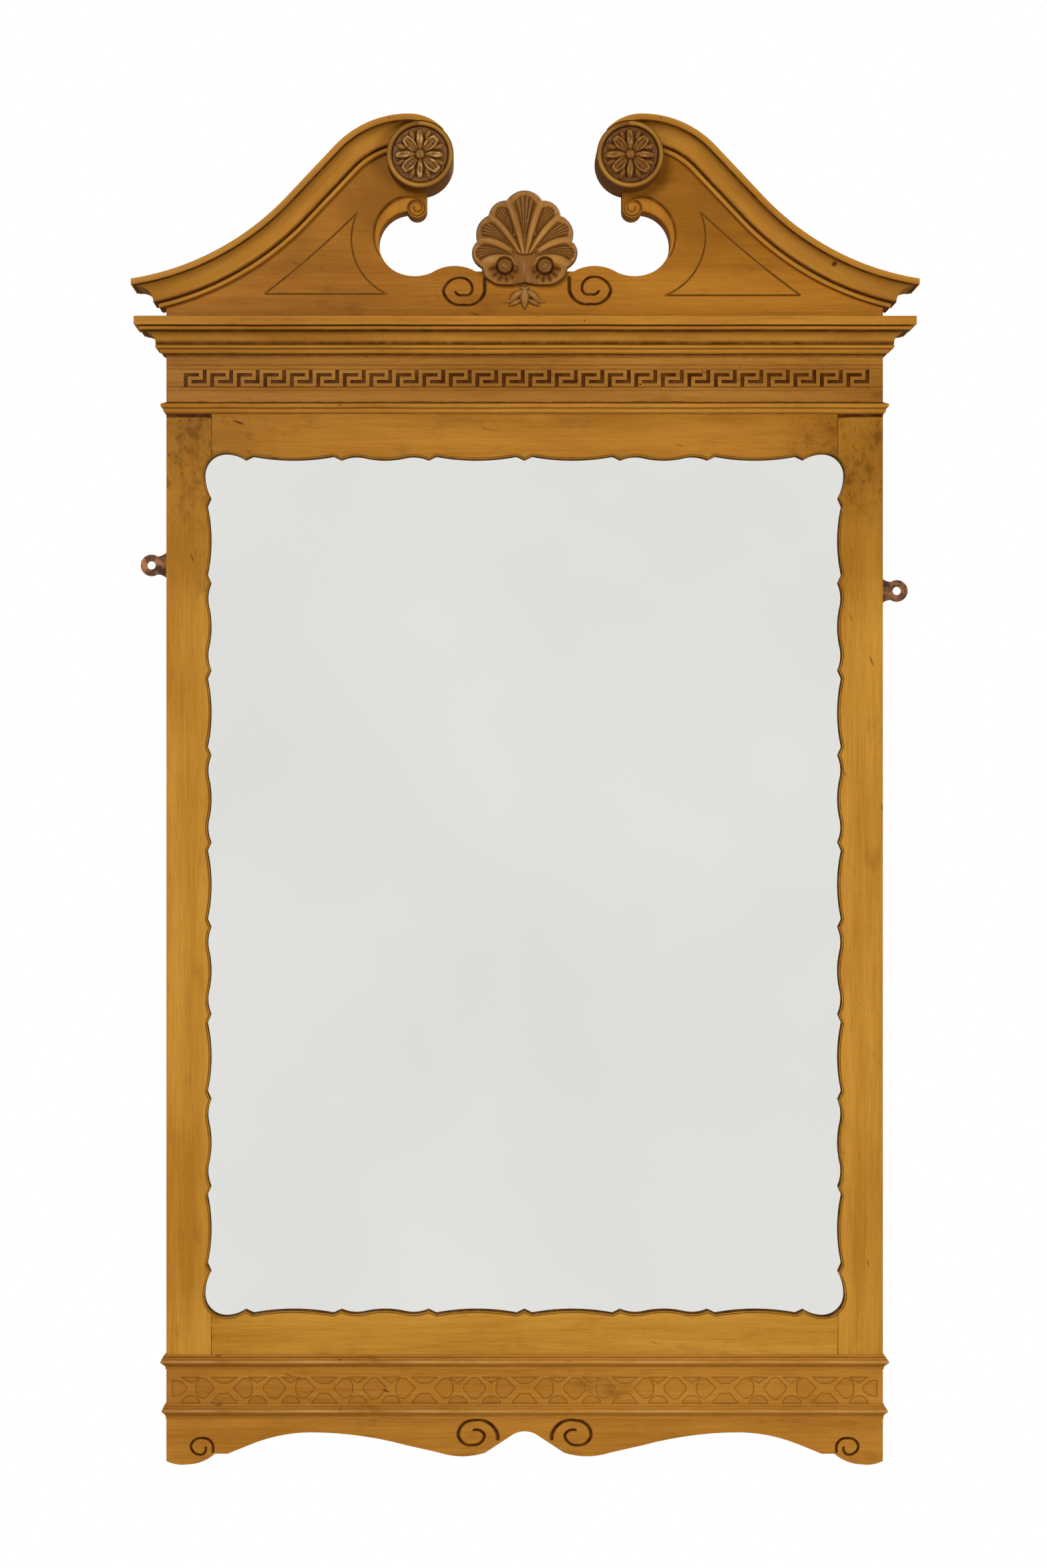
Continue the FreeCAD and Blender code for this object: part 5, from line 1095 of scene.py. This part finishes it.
def band_patch(way):
    """A crowned band between its outer line and the cut edge, closed at the back and thin at both ends."""
    rows, columns = BAND_GRID
    outer = evenly(outline(BAND_OUTER, 0.5, closed=False), columns, closed=False)
    cut = outline(BAND_CUT, 0.5, closed=False)
    first = np.argmin(np.hypot(*(cut - outer[0]).T))
    curl = outline(BAND_CURL, 0.5, closed=False)
    inner = evenly(np.concatenate([cut[first:], curl]), columns, closed=False)
    share = np.linspace(0, 1, rows)
    crown = np.minimum(1.5, np.hypot(*(inner - outer).T) * 0.2)
    rise = crown * np.sin(np.pi * share[:, None] ** 1.25) ** 0.8 + 0.04
    ring = np.concatenate([share, [1.0, 0.5, 0.0]])[:, None]
    x = outer[:, 0] + (inner - outer)[:, 0] * ring
    z = outer[:, 1] + (inner - outer)[:, 1] * ring
    y = np.concatenate([-BOARD - rise, np.full((3, columns), -BOARD + 0.8)])
    # Glaze and painted shade along the band's outer line and at the cut edge; a painted highlight along its
    # crown
    dark = 1 - smooth_step(0.05, 0.30, share) + 0.4 * smooth_step(0.9, 1.0, share)
    recess = np.concatenate([dark, [0.4, 0, 0]])
    edge = np.concatenate([bell(share - 0.68, 0.14), [0, 0, 0]])
    return Patch(-way * x, y, z, recess, edge, (z, x), wrap_rows=True, caps=BOTH_ENDS)


def full_turn(count):
    return np.linspace(0, 2 * math.pi, count, endpoint=False)[None, :]


def carved_round(middle, base, reach, turn, lift, recess, edge, back=-0.3, hidden=1.0):
    """A carved top laid out by reach and turn round its middle (x, z), closed by its side and a flat back.

    The lift and the back are measured forwards from the base; hidden is how dark the back is.
    """
    closing = np.ones((2, turn.shape[1]))
    reach = np.concatenate([reach, reach[-1:], reach[:1]])
    lift = np.concatenate([lift, back * closing])
    recess = np.concatenate([recess, hidden * closing])
    edge = np.concatenate([edge, 0 * closing])
    x = middle[0] + reach * np.sin(turn)
    z = middle[1] + reach * np.cos(turn)
    return Patch(x, base - lift, z, recess, edge, wrap_columns=True)


def curl_patch(way):
    """The curl at a scroll's end: half an ellipse turned about its axis, cut by one turn of a spiral."""
    rows, columns = CURL_GRID
    share = np.sin(np.linspace(0, math.pi / 2, rows))[:, None]
    turn = full_turn(columns)
    spiral = 0.34 + 0.52 * turn / (2 * math.pi)
    groove = bell(share - spiral, 0.085)
    lift = (2.0 - 0.7 * groove) * dome(share)
    # Glaze and painted shade in the spiral groove and round the curl's foot; wear and a painted highlight on
    # its top
    recess = np.maximum(smooth_step(0.82, 1.0, share), 0.85 * groove)
    edge = (1 - smooth_step(0.0, 0.6, share)) * (1 - groove)
    reach = share * (CURL_RADIUS - 1.7)
    middle = (-way * CURL_X, CURL_Z)
    return carved_round(middle, -BOARD, reach, way * (turn + CURL_START), lift, recess, edge, back=-0.6)


def make_bands():
    wood = wood_material("band_wood", "along", TOP, UPPER[0], marks=0.3)
    for side, way in SIDES:
        build_piece(f"{side}_scroll_band", [band_patch(way), curl_patch(way)], wood)


# Carved pieces: rosettes, shell and husk


def hollows_of(height, rows, columns, depth):
    """How far each point of a height grid lies below, and above, the blur of its neighbours, from 0 to 1."""
    doubled = np.concatenate([height, height[::-1]])
    down = np.fft.fftfreq(len(doubled))[:, None] * rows
    across = np.fft.fftfreq(height.shape[1])[None, :] * columns
    damp = np.exp(-2 * math.pi**2 * (down**2 + across**2))
    wide = np.real(np.fft.ifft2(np.fft.fft2(doubled) * damp))[: len(height)]
    sunk = (wide - height) / depth
    return np.clip(sunk, 0, 1), np.clip(-sunk, 0, 1)


def drum_patch(way):
    """The turned drum: its section carried round the axis, with a rounded rim and a sunk floor."""
    front = -BOARD - DRUM_PROJECTION
    base = front + DRUM_RECESS
    rim = DRUM_RADIUS - DRUM_RIM
    soft = DRUM_EASE
    corners = [
        (0, 0), (DRUM_RADIUS, 0), (DRUM_RADIUS, front + soft, QUARTER), (DRUM_RADIUS - soft, front),
        (rim + soft, front, QUARTER), (rim, front + soft), (rim, base), (0, base),
    ]
    reach, y = outline(corners, 0.5, closed=False).T[:, :, None]
    turn = full_turn(DRUM_STEPS)
    seat = np.where(reach > DRUM_RADIUS - 0.1, np.abs(y + BOARD), 99)
    # Glaze and painted shade inside the rim and where the drum meets the board; wear and a painted highlight
    # on the rim
    recess = np.maximum(bell(np.hypot(reach - rim, y - base), 3.0), 0.8 * bell(seat, 1.4))
    edge = bell(np.hypot(reach - DRUM_RADIUS + DRUM_RIM / 2, y - front), 1.8)
    x = way * DRUM_X + reach * np.sin(turn)
    z = DRUM_Z + reach * np.cos(turn)
    return Patch(x, y, z, recess, edge, (turn * DRUM_RADIUS, reach + y), wrap_columns=True)


def flower_height(reach, turn):
    """Height of the rosette: eight petals, leaf tips between them at the rim, and a notched boss.

    Across a petal, u is the distance from its axis over its half width. On the diagonals the petals are
    hollow and raised along their lips, near u of 0.7; on the axes they are round, as the root of 1 less
    u squared, and split by a groove.
    """
    eighth = math.pi / 4
    swing = (turn + eighth / 2) % eighth - eighth / 2
    number = np.round(turn / eighth).astype(int) % 8
    hollow = number % 2
    stray = np.sin(number * 2.3 + 0.7)
    along = np.clip((reach - 4.6) / (19.6 + 0.9 * stray), 0, 1)
    across = reach * np.sin(swing + 0.05 * stray * along)
    swell = np.sin(math.pi * np.clip(along * 0.84 + 0.08, 0, 1)) ** 0.9
    u = np.abs(across) / (0.8 + (3.0 + 2.0 * hollow + 0.3 * stray) * swell)
    tip = 1 - smooth_step(0.90, 1.0, along)
    lip = bell(u - 0.70, 0.22) + 0.8 * bell(along - 0.84, 0.08)
    opened = (2.0 + 2.4 * np.minimum(lip, 1) + 1.2 * bell(u, 0.2)) * (1 - smooth_step(0.85, 1.1, u))
    closed = 4.6 * dome(u) - 1.3 * bell(across, 0.6) * smooth_step(0.3, 0.5, along)
    petal = np.where(hollow == 1, opened, closed) * tip * (0.55 + 0.45 * np.sin(math.pi * along))
    swing = turn % eighth - eighth / 2
    across = np.abs(reach * np.sin(swing))
    along = np.clip((reach - 13.5) / 12.0, 0, 1)
    half = 0.3 + 3.4 * np.sin(math.pi * np.clip(along * 0.88 + 0.1, 0, 1))
    leaf = 2.6 * np.clip(1 - (across / half) ** 1.3, 0, 1) * smooth_step(0.0, 0.2, along)
    boss = 6.0 * dome(reach / 5.0) - 0.9 * bell(reach * np.sin(turn + 0.4), 0.6) * (reach < 4.0)
    lumps = 0.28 * np.sin(turn * 11 + 1.3 * np.sin(reach * 0.9)) * np.sin(reach * 1.3 + np.sin(turn * 7))
    return 0.8 + np.maximum(np.maximum(petal, leaf), boss) + lumps * smooth_step(5.0, 8.0, reach)


def flower_patch(way):
    """The rosette's flower, with glaze and painted shade in its hollows and painted glints on its highest
    ridges.
    """
    rows, columns = FLOWER_GRID
    reach = np.linspace(0, FLOWER_RADIUS, rows)[:, None]
    turn = full_turn(columns)
    height = flower_height(reach, turn) * (1 - smooth_step(FLOWER_RADIUS - 0.8, FLOWER_RADIUS, reach))
    recess, edge = hollows_of(height, 5, 6, 0.9)
    # Lower parts darker with glaze and painted shade
    recess = np.maximum(0.95 * recess, 0.6 - smooth_step(0.6, 2.2, height))
    # Painted glints on the highest crests, in gilt on the left flower and pale on the right
    glint = 0.5 + 0.5 * np.sin(turn * 5 + reach * 0.6 + way) * np.sin(turn * 2 + 1.1)
    edge = 1.7 * smooth_step(0.35, 0.9, edge) * smooth_step(2.5, 4.5, height) * glint
    base = -BOARD - DRUM_PROJECTION + DRUM_RECESS
    return carved_round((way * DRUM_X, DRUM_Z), base, reach, turn, height, recess, edge)


def make_rosettes():
    turned = wood_material("drum_wood", "along", CARVED, marks=0.3)
    gilt_glinting = wood_material("gilt_glinting_petals", "across", CARVED, GILT_AND_GLINT, 0.0, gloss=0.10, polish=0.16)
    plain = wood_material("carved_petals", "across", CARVED, CARVED_RUBBED_AND_LIT, 0.0, gloss=0.07, polish=0.12)
    for (side, way), wood in zip(SIDES, (gilt_glinting, plain)):
        drum = [f"{side}_rosette_drum"]
        build_piece(f"{side}_turned_drum", [drum_patch(way)], turned, drum)
        flower = [f"{side}_rosette_flower"]
        build_piece(f"{side}_carved_flower", [flower_patch(way)], wood, flower)


def shell_rim(turn):
    """Distance from the hinge to the shell's edge: seven lobes between notches, then the two ears below.

    Also returns how far across its lobe each point lies, from 0 to 1.
    """
    side = np.abs(np.degrees(turn))
    rim = np.interp(side, SHELL_TURNS, SHELL_REACHES)
    lobe = np.interp(side, SHELL_TURNS[:5], [0.0, 0.5, 1.5, 2.5, 3.5])
    share = (lobe + 0.5) % 1
    swell = np.array(LOBE_SWELLS)[np.clip((lobe + 0.5).astype(int), 0, 3)]
    swell = np.where(side < SHELL_TURNS[4], swell * (1 - (2 * share - 1) ** 2), 0)
    return rim + swell, share


def shell_fan(share, out):
    """The shell's lobes: round ridges at the notches, and reeded channels that widen towards the rim.

    Across a lobe, u runs from -1 to 1 over the channel, whose five grooves are the crests of a cosine of u.
    Returns the height, and how dark each point is, with glaze and painted shade in the channels, grooves and
    walls.
    """
    across = 2 * share - 1
    half = 0.30 + 0.38 * smooth_step(0.1, 1.0, out)
    u = across / half
    bowl = np.minimum(u * u, 1)
    length = (1 - smooth_step(0.90, 0.945, out + 0.05 * bowl)) * smooth_step(0.06, 0.25, out)
    channel = (1 - smooth_step(0.86, 1.14, np.abs(u))) * length
    swell = np.clip(1 - ((1 - np.abs(across)) / (1.02 - half)) ** 2, 0, 1)
    groove = smooth_step(0.1, 0.95, np.cos(5 * math.pi * u)) * channel * smooth_step(0.2, 0.5, out)
    height = 7.2 + 3.6 * (1 - ((out - 0.5) / 0.55) ** 2) + 2.0 * swell * smooth_step(0.05, 0.4, out)
    height += 0.9 * bell(out - 0.965, 0.03) - 1.9 * channel * (1 - 0.5 * bowl) - 0.75 * groove
    wall = bell(np.abs(u) - 1.05, 0.16) * length
    return height, np.maximum(0.22 * channel + 0.62 * groove, 0.55 * wall)


def shell_relief(x, down, share, out):
    """Height and darkness of the shell: the fan, scroll eyes, fluted ears and the saddle between them."""
    height, dark = shell_fan(share, out)
    ear_x = np.abs(x) - EYE_OUT
    ear_down = down - EYE_DOWN
    ring = np.hypot(ear_x, ear_down)
    around = np.arctan2(ear_down, ear_x)
    shelf = np.clip((ring - 7) / 12, 0, 1)
    flutes = np.cos(around * 13) * np.sin(math.pi * np.clip(shelf * 1.15, 0, 1))
    ear = 5.2 + 4.6 * smooth_step(0.25, 0.85, shelf) + 0.8 * flutes
    # Glaze and painted shade in the ears' hollows round the eyes and between their flutes
    ear_dark = 0.14 + 0.42 * (1 - smooth_step(0.05, 0.6, shelf)) + 0.42 * smooth_step(0.1, 0.8, -flutes)
    low = smooth_step(-5.0, 1.0, ear_down - 0.22 * np.abs(ear_x))
    height = height * (1 - low) + ear * low
    dark = dark * (1 - low) + ear_dark * low
    half = 7.5 + 4.0 * np.abs(down - 76) / 12
    saddle = 12.6 - 4.2 * (x / half) ** 2 - 2.0 * ((down - 76) / 13) ** 2
    brow = down - 62.5 + 0.028 * x**2
    inside = (1 - smooth_step(0.80, 1.10, np.abs(x) / half)) * smooth_step(-0.5, 1.5, brow)
    height = height * (1 - inside) + saddle * inside
    dark = dark * (1 - inside) + 0.24 * inside
    # Painted shade along the brow line and in the moat round each eye
    line = bell(brow, 0.7) * (1 - smooth_step(9.0, 13.0, np.abs(x)))
    moat = bell(ring - 7.6, 0.8)
    height = height - 1.2 * line - 2.4 * moat
    dark = np.maximum(dark, np.maximum(0.6 * line, 0.85 * moat))
    eye = ring < EYE_RADIUS
    curl = bell(ring - 3.8 - 0.45 * around, 0.6) * eye
    height = np.where(eye, 9.0 + 4.2 * dome(ring / EYE_RADIUS) - 0.8 * curl, height)
    return height, np.where(eye, 0.33 + 0.30 * curl, dark)


def make_shell():
    """The shell as a grid round its hinge: out from 0 to 1, and once round; its side and back close it.

    A rib meets the rim at an angle from upright that shrinks by RIB_SWEEP on its way in to the hinge.
    """
    rows, columns = SHELL_GRID
    turn = np.linspace(-math.pi, math.pi, columns, endpoint=False)[None, :]
    out = np.linspace(0, 1, rows)[:, None]
    rim, _ = shell_rim(turn)
    _, share = shell_rim(np.clip(turn * (1 + RIB_SWEEP * (1 - out)), -math.pi, math.pi))
    reach = out * rim
    height, dark = shell_relief(reach * np.sin(turn), SHELL_DROP - reach * np.cos(turn), share, out)
    height *= 1 - 0.3 * smooth_step(0.97, 1.0, out)
    recess, edge = hollows_of(height, 4, 5, 0.9)
    # Glaze and painted shade in the hollows and round the rim; ridges away from them are worn pale with
    # painted highlights
    recess = np.maximum(np.maximum(recess * 0.45, dark), 0.6 * bell(out - 1, 0.012))
    edge = np.maximum(0.6 * edge, 1.0 - dark * 2.4)
    hinge = (0.0, SHELL_TOP - SHELL_DROP)
    patch = carved_round(hinge, -BOARD, reach, turn, height, recess, edge, hidden=0.9)
    wood = wood_material("shell_wood", "upright", CARVED, CARVED_RUBBED_AND_LIT, 0.3, gloss=0.07, polish=0.10)
    build_piece("carved_shell", [patch], wood, ["shell"])


# Leaves of the husk, as base, tip, half width, rise, keel and sideways bow: the middle one, then one side's

HUSK_MIDDLE = ((0, 575.5), (0, 553.6), 5.6, 5.6, 0.6, 0.0)
HUSK_LEAVES = [
    ((2.0, 572.5), (15.0, 559.5), 4.0, 5.4, -1.2, 1.2),
    ((3.5, 563.5), (15.2, 557.6), 2.9, 3.6, 0.3, 0.0),
    ((6.0, 566.0), (21.6, 561.0), 2.2, 1.6, 0.3, -0.8),
    ((0.2, 574.6), (4.9, 574.6), 2.3, 4.8, 0.0, 0.0),
]


def leaf_patch(base, tip, half, rise, keel, bow):
    """A carved leaf from its base to its tip: a crowned top with a keel or a vein, closed by a flat back."""
    rows, columns = LEAF_GRID
    along = np.linspace(0, 1, columns)[None, :]
    across = np.linspace(-1, 1, rows)[:, None]
    base = np.array(base, float)
    axis = np.array(tip, float) - base
    side = np.array([-axis[1], axis[0]]) / math.hypot(*axis)
    width = half * np.sin(math.pi * along**0.8) ** 0.85
    offset = across * width + bow * np.sin(math.pi * along)
    crown = rise * (1 - np.abs(across) ** 2.2) * np.sin(math.pi * (0.15 + 0.8 * along)) ** 0.7
    crown = crown + keel * bell(across, 0.16) * np.sin(math.pi * along)
    x = base[0] + axis[0] * along + side[0] * offset
    z = base[1] + axis[1] * along + side[1] * offset
    y = -BOARD - np.concatenate([crown + 0.05, np.full_like(crown, -0.3)])
    out = np.abs(across[:, 0])
    # Painted shade on each leaf's sides and back; a painted highlight along its crest
    recess = np.concatenate([0.9 * smooth_step(0.72, 1.0, out), np.full(rows, 0.9)])
    edge = np.concatenate([bell(out - 0.25, 0.3), np.zeros(rows)])
    return Patch(np.concatenate([x, x[::-1]]), y, np.concatenate([z, z[::-1]]), recess, edge, wrap_rows=True)


def make_husk():
    """The drop under the shell: a keeled middle leaf, then petals, lobes, flat points and a neck block."""
    leaves = [leaf_patch(*HUSK_MIDDLE)]
    for _, way in SIDES:
        for base, tip, half, rise, keel, bow in HUSK_LEAVES:
            ends = [(way * x, z) for x, z in (base, tip)]
            leaves.append(leaf_patch(*ends, half, rise, keel, way * bow))
    wood = wood_material("husk_wood", "upright", HUSK, HUSK_HIGHLIGHT, 0.0, gloss=0.09, polish=0.16)
    build_piece("carved_husk", leaves, wood, ["husk_drop"])


# Blind fret


def loop_distance(points, corners):
    """Signed distance from points to a closed outline, less than 0 inside it."""
    line = outline(corners, 0.4)
    after = np.roll(line, -1, axis=0)
    chord = after - line
    offset = points[:, None, :] - line[None, :, :]
    share = np.clip(np.sum(offset * chord, axis=2) / np.sum(chord * chord, axis=1), 0, 1)
    near = np.min(np.hypot(*np.moveaxis(offset - share[..., None] * chord, 2, 0)), axis=1)
    above = line[None, :, 1] > points[:, None, 1]
    crossed = above != (after[None, :, 1] > points[:, None, 1])
    slope = chord[:, 0] / np.where(chord[:, 1] == 0, 1e-9, chord[:, 1])
    right = points[:, None, 0] < line[None, :, 0] + (points[:, None, 1] - line[None, :, 1]) * slope
    inside = np.sum(crossed & right, axis=1) % 2 == 1
    return np.where(inside, -near, near)


def fret_cells():
    """Sunk cells of one period of the fret about its tie, and the quatrefoils at the period's two ends."""
    top = FRET_TOP
    foot = -FRET_BOTTOM
    wide = FRET_CELL_REACH
    strap = FRET_STRAP
    gap = FRET_PERIOD / 3
    rise = FRET_CELL_RISE
    cells = [
        [(-wide, top), (wide, top), (strap, strap), (-strap, strap)],
        [(-wide, foot), (wide, foot), (strap, -strap), (-strap, -strap)],
    ]
    foils = []
    for way in (-1, 1):
        cross = gap * way
        cells.append([(cross - FRET_NARROW, top), (cross + FRET_NARROW, top), (cross, strap)])
        cells.append([(cross - FRET_NARROW, foot, 0.8), (cross + FRET_NARROW, foot)])
        near = strap * 1.8 * way
        far = (gap - strap) * way
        bend = 0.55 * way
        cells.append([(near, 0), ((near + far) / 2, rise, bend), (far, 0, bend), ((near + far) / 2, -rise)])
        middle = FRET_PERIOD / 2 * way
        corners = [(-1, -1), (-1, 1), (1, 1), (1, -1)]
        foils.append([(middle + wide * 0.52 * across, rise * 0.52 * up, 0.8) for across, up in corners])
    return cells, foils


def repeated_distance(x, up, cells):
    """Signed distance to cells that repeat along x with the fret's period, worked out over one period."""
    step = np.linspace(-FRET_PERIOD / 2, FRET_PERIOD / 2, PERIOD_STEPS)
    points = np.stack(np.meshgrid(step, up), axis=-1).reshape(-1, 2)
    near = np.min([loop_distance(points, cell) for cell in cells], axis=0).reshape(len(up), len(step))
    place = (x + FRET_PERIOD / 2) % FRET_PERIOD - FRET_PERIOD / 2
    column = np.interp(place, step, np.arange(len(step)))
    low = np.floor(column).astype(int)
    share = column - low
    return near[:, low] * (1 - share) + near[:, np.minimum(low + 1, len(step) - 1)] * share


def fret_distance(x, up):
    """Signed distance from each point of the fret to its cells; half cells close the two ends."""
    cells, foils = fret_cells()
    inner = HALF_WIDTH - FRET_MARGIN - FRET_CELL_REACH
    ties = np.where(np.abs(x) > HALF_WIDTH - FRET_MARGIN, FAR_AWAY, repeated_distance(x, up, cells))
    quatrefoils = np.where(np.abs(x) > inner, FAR_AWAY, repeated_distance(x, up, foils))
    last = -HALF_WIDTH + FRET_END_GAP
    end = [(last, -FRET_CELL_RISE * 0.8, -0.3), (-inner, 0, -0.3), (last, FRET_CELL_RISE * 0.8)]
    count = np.count_nonzero(x < -inner + 4)
    points = np.stack(np.meshgrid(x[:count], up), axis=-1).reshape(-1, 2)
    ends = np.full(ties.shape, FAR_AWAY)
    ends[:, :count] = loop_distance(points, end).reshape(len(up), count)
    return np.minimum(np.minimum(ties, quatrefoils), np.minimum(ends, ends[:, ::-1]))


def make_fret_frieze():
    """The fret board as a grid: low floors in the cells, glaze and painted shade along their edges with worn
    pale lands and painted highlights beside them, housings behind.
    """
    rows, columns = FRET_GRID
    axis = -HALF_HEIGHT - FRET_AXIS
    x = np.linspace(-HALF_WIDTH, HALF_WIDTH, columns)
    carved = np.linspace(FRET_TOP + FRET_BORDER, -FRET_BOTTOM - FRET_BORDER, rows)
    up = np.concatenate([[-HALF_HEIGHT - axis], carved, [FRET_FOOT - axis]])
    distance = fret_distance(x, up)
    depth = FRET_DEPTH * (1 - smooth_step(-0.55, 0.25, distance))
    plain = np.zeros((2, columns))
    # Glaze and painted shade along the cells' edges and a little on their floors; wear and painted highlight
    # on the lands beside them
    recess = np.concatenate([0.46 * bell(distance + 0.2, 0.6) + 0.08 * (distance < 0), plain])
    edge = np.concatenate([0.5 * bell(distance - 0.9, 0.5), plain])
    behind = plain - BATTEN_DEPTH * (np.abs(np.abs(x) - BATTEN_SPREAD) < BATTEN_HALF)
    y = np.concatenate([depth - BOARD, behind])
    level = np.concatenate([axis + up, [FRET_FOOT, -HALF_HEIGHT]])[:, None]
    patch = Patch(x, y, level, recess, edge, wrap_rows=True, caps=BOTH_ENDS)
    wood = wood_material("fret_wood", "across", FRIEZE, marks=1.1)
    build_piece("blind_fret", [patch], wood, ["fret_frieze"])


# Stage, light and camera


def make_camera():
    data = bpy.data.cameras.new("photograph")
    data.sensor_fit = "HORIZONTAL"
    data.sensor_width = SENSOR
    data.lens = SENSOR * VIEW_DISTANCE / VIEW_WIDTH
    data.shift_x = SHIFT_RIGHT / PHOTO_WIDTH
    data.shift_y = -SHIFT_DOWN / PHOTO_WIDTH
    camera = add_object("photograph", data)
    camera.location = (CAMERA_X * MM, -(BOARD + VIEW_DISTANCE) * MM, CAMERA_Z * MM)
    camera.rotation_euler = (math.pi / 2, 0, 0)
    bpy.context.scene.camera = camera


def make_world():
    """White for rays that show the backdrop, straight or in glass and metal, and dimmer for the rest."""
    world = bpy.data.worlds.new("studio")
    world.use_nodes = True
    path = add_node(world.node_tree, "ShaderNodeLightPath").outputs
    seen = most_of(path["Is Camera Ray"], path["Is Glossy Ray"], path["Is Transmission Ray"])
    strength = plus(times(seen, 1 - AMBIENT), AMBIENT)
    feed(world.node_tree.nodes["Background"], {"Color": WHITE, "Strength": strength})
    bpy.context.scene.world = world


def floor_material():
    """A pale floor that fades out to the white backdrop, which glass and metal show too."""
    material, tree, shader = new_material("pale_floor")
    place = object_place(tree)
    feed(shader, {"Base Color": blend_colour(cloud(place, 2.0, 2.0, 0.5), *FLOOR), "Roughness": 0.9})
    ends = {0: place, 1: (0.0, FLOOR_MIDDLE, FLOOR_LEVEL)}
    apart = add_node(tree, "ShaderNodeVectorMath", ends, operation="DISTANCE").outputs["Value"]
    fade = between(apart, FLOOR_HALF * 0.4, FLOOR_HALF * 0.96, 0.5, 1.0)
    path = add_node(tree, "ShaderNodeLightPath").outputs
    seen = times(path["Is Camera Ray"], fade)
    share = most_of(path["Is Glossy Ray"], path["Is Transmission Ray"], seen)
    white = add_node(tree, "ShaderNodeEmission", {"Color": WHITE, "Strength": 1.0}).outputs[0]
    mixed = add_node(tree, "ShaderNodeMixShader", {0: share, 1: shader.outputs[0], 2: white}).outputs[0]
    feed(tree.nodes["Material Output"], {"Surface": mixed})
    return material


def make_floor():
    """One square, well below the hung mirror."""
    near = FLOOR_MIDDLE - FLOOR_HALF
    far = FLOOR_MIDDLE + FLOOR_HALF
    corners = [(-FLOOR_HALF, near), (FLOOR_HALF, near), (FLOOR_HALF, far), (-FLOOR_HALF, far)]
    mesh = bpy.data.meshes.new("floor")
    mesh.from_pydata([(x, y, FLOOR_LEVEL) for x, y in corners], [], [[0, 1, 2, 3]])
    mesh.materials.append(floor_material())
    floor = add_object("floor", mesh)


def make_lamp(name, place, target, size, power):
    data = bpy.data.lights.new(name, "AREA")
    data.shape = "DISK"
    data.size = size
    data.energy = power
    lamp = add_object(name, data)
    lamp.location = place
    away = np.array(place) - np.array(target)
    flat = math.hypot(away[0], away[1])
    lamp.rotation_euler = (math.atan2(flat, away[2]), 0, math.atan2(away[1], away[0]) + math.pi / 2)


def make_stage():
    make_world()
    make_floor()
    for lamp in LAMPS:
        make_lamp(*lamp)
    bpy.context.scene.view_settings.view_transform = "Standard"


make_camera()
make_stage()
finish_boards()
make_mouldings()
make_swan_necks()
make_opening_edge()
make_incised_lines()
make_bands()
make_rosettes()
make_shell()
make_husk()
make_fret_frieze()
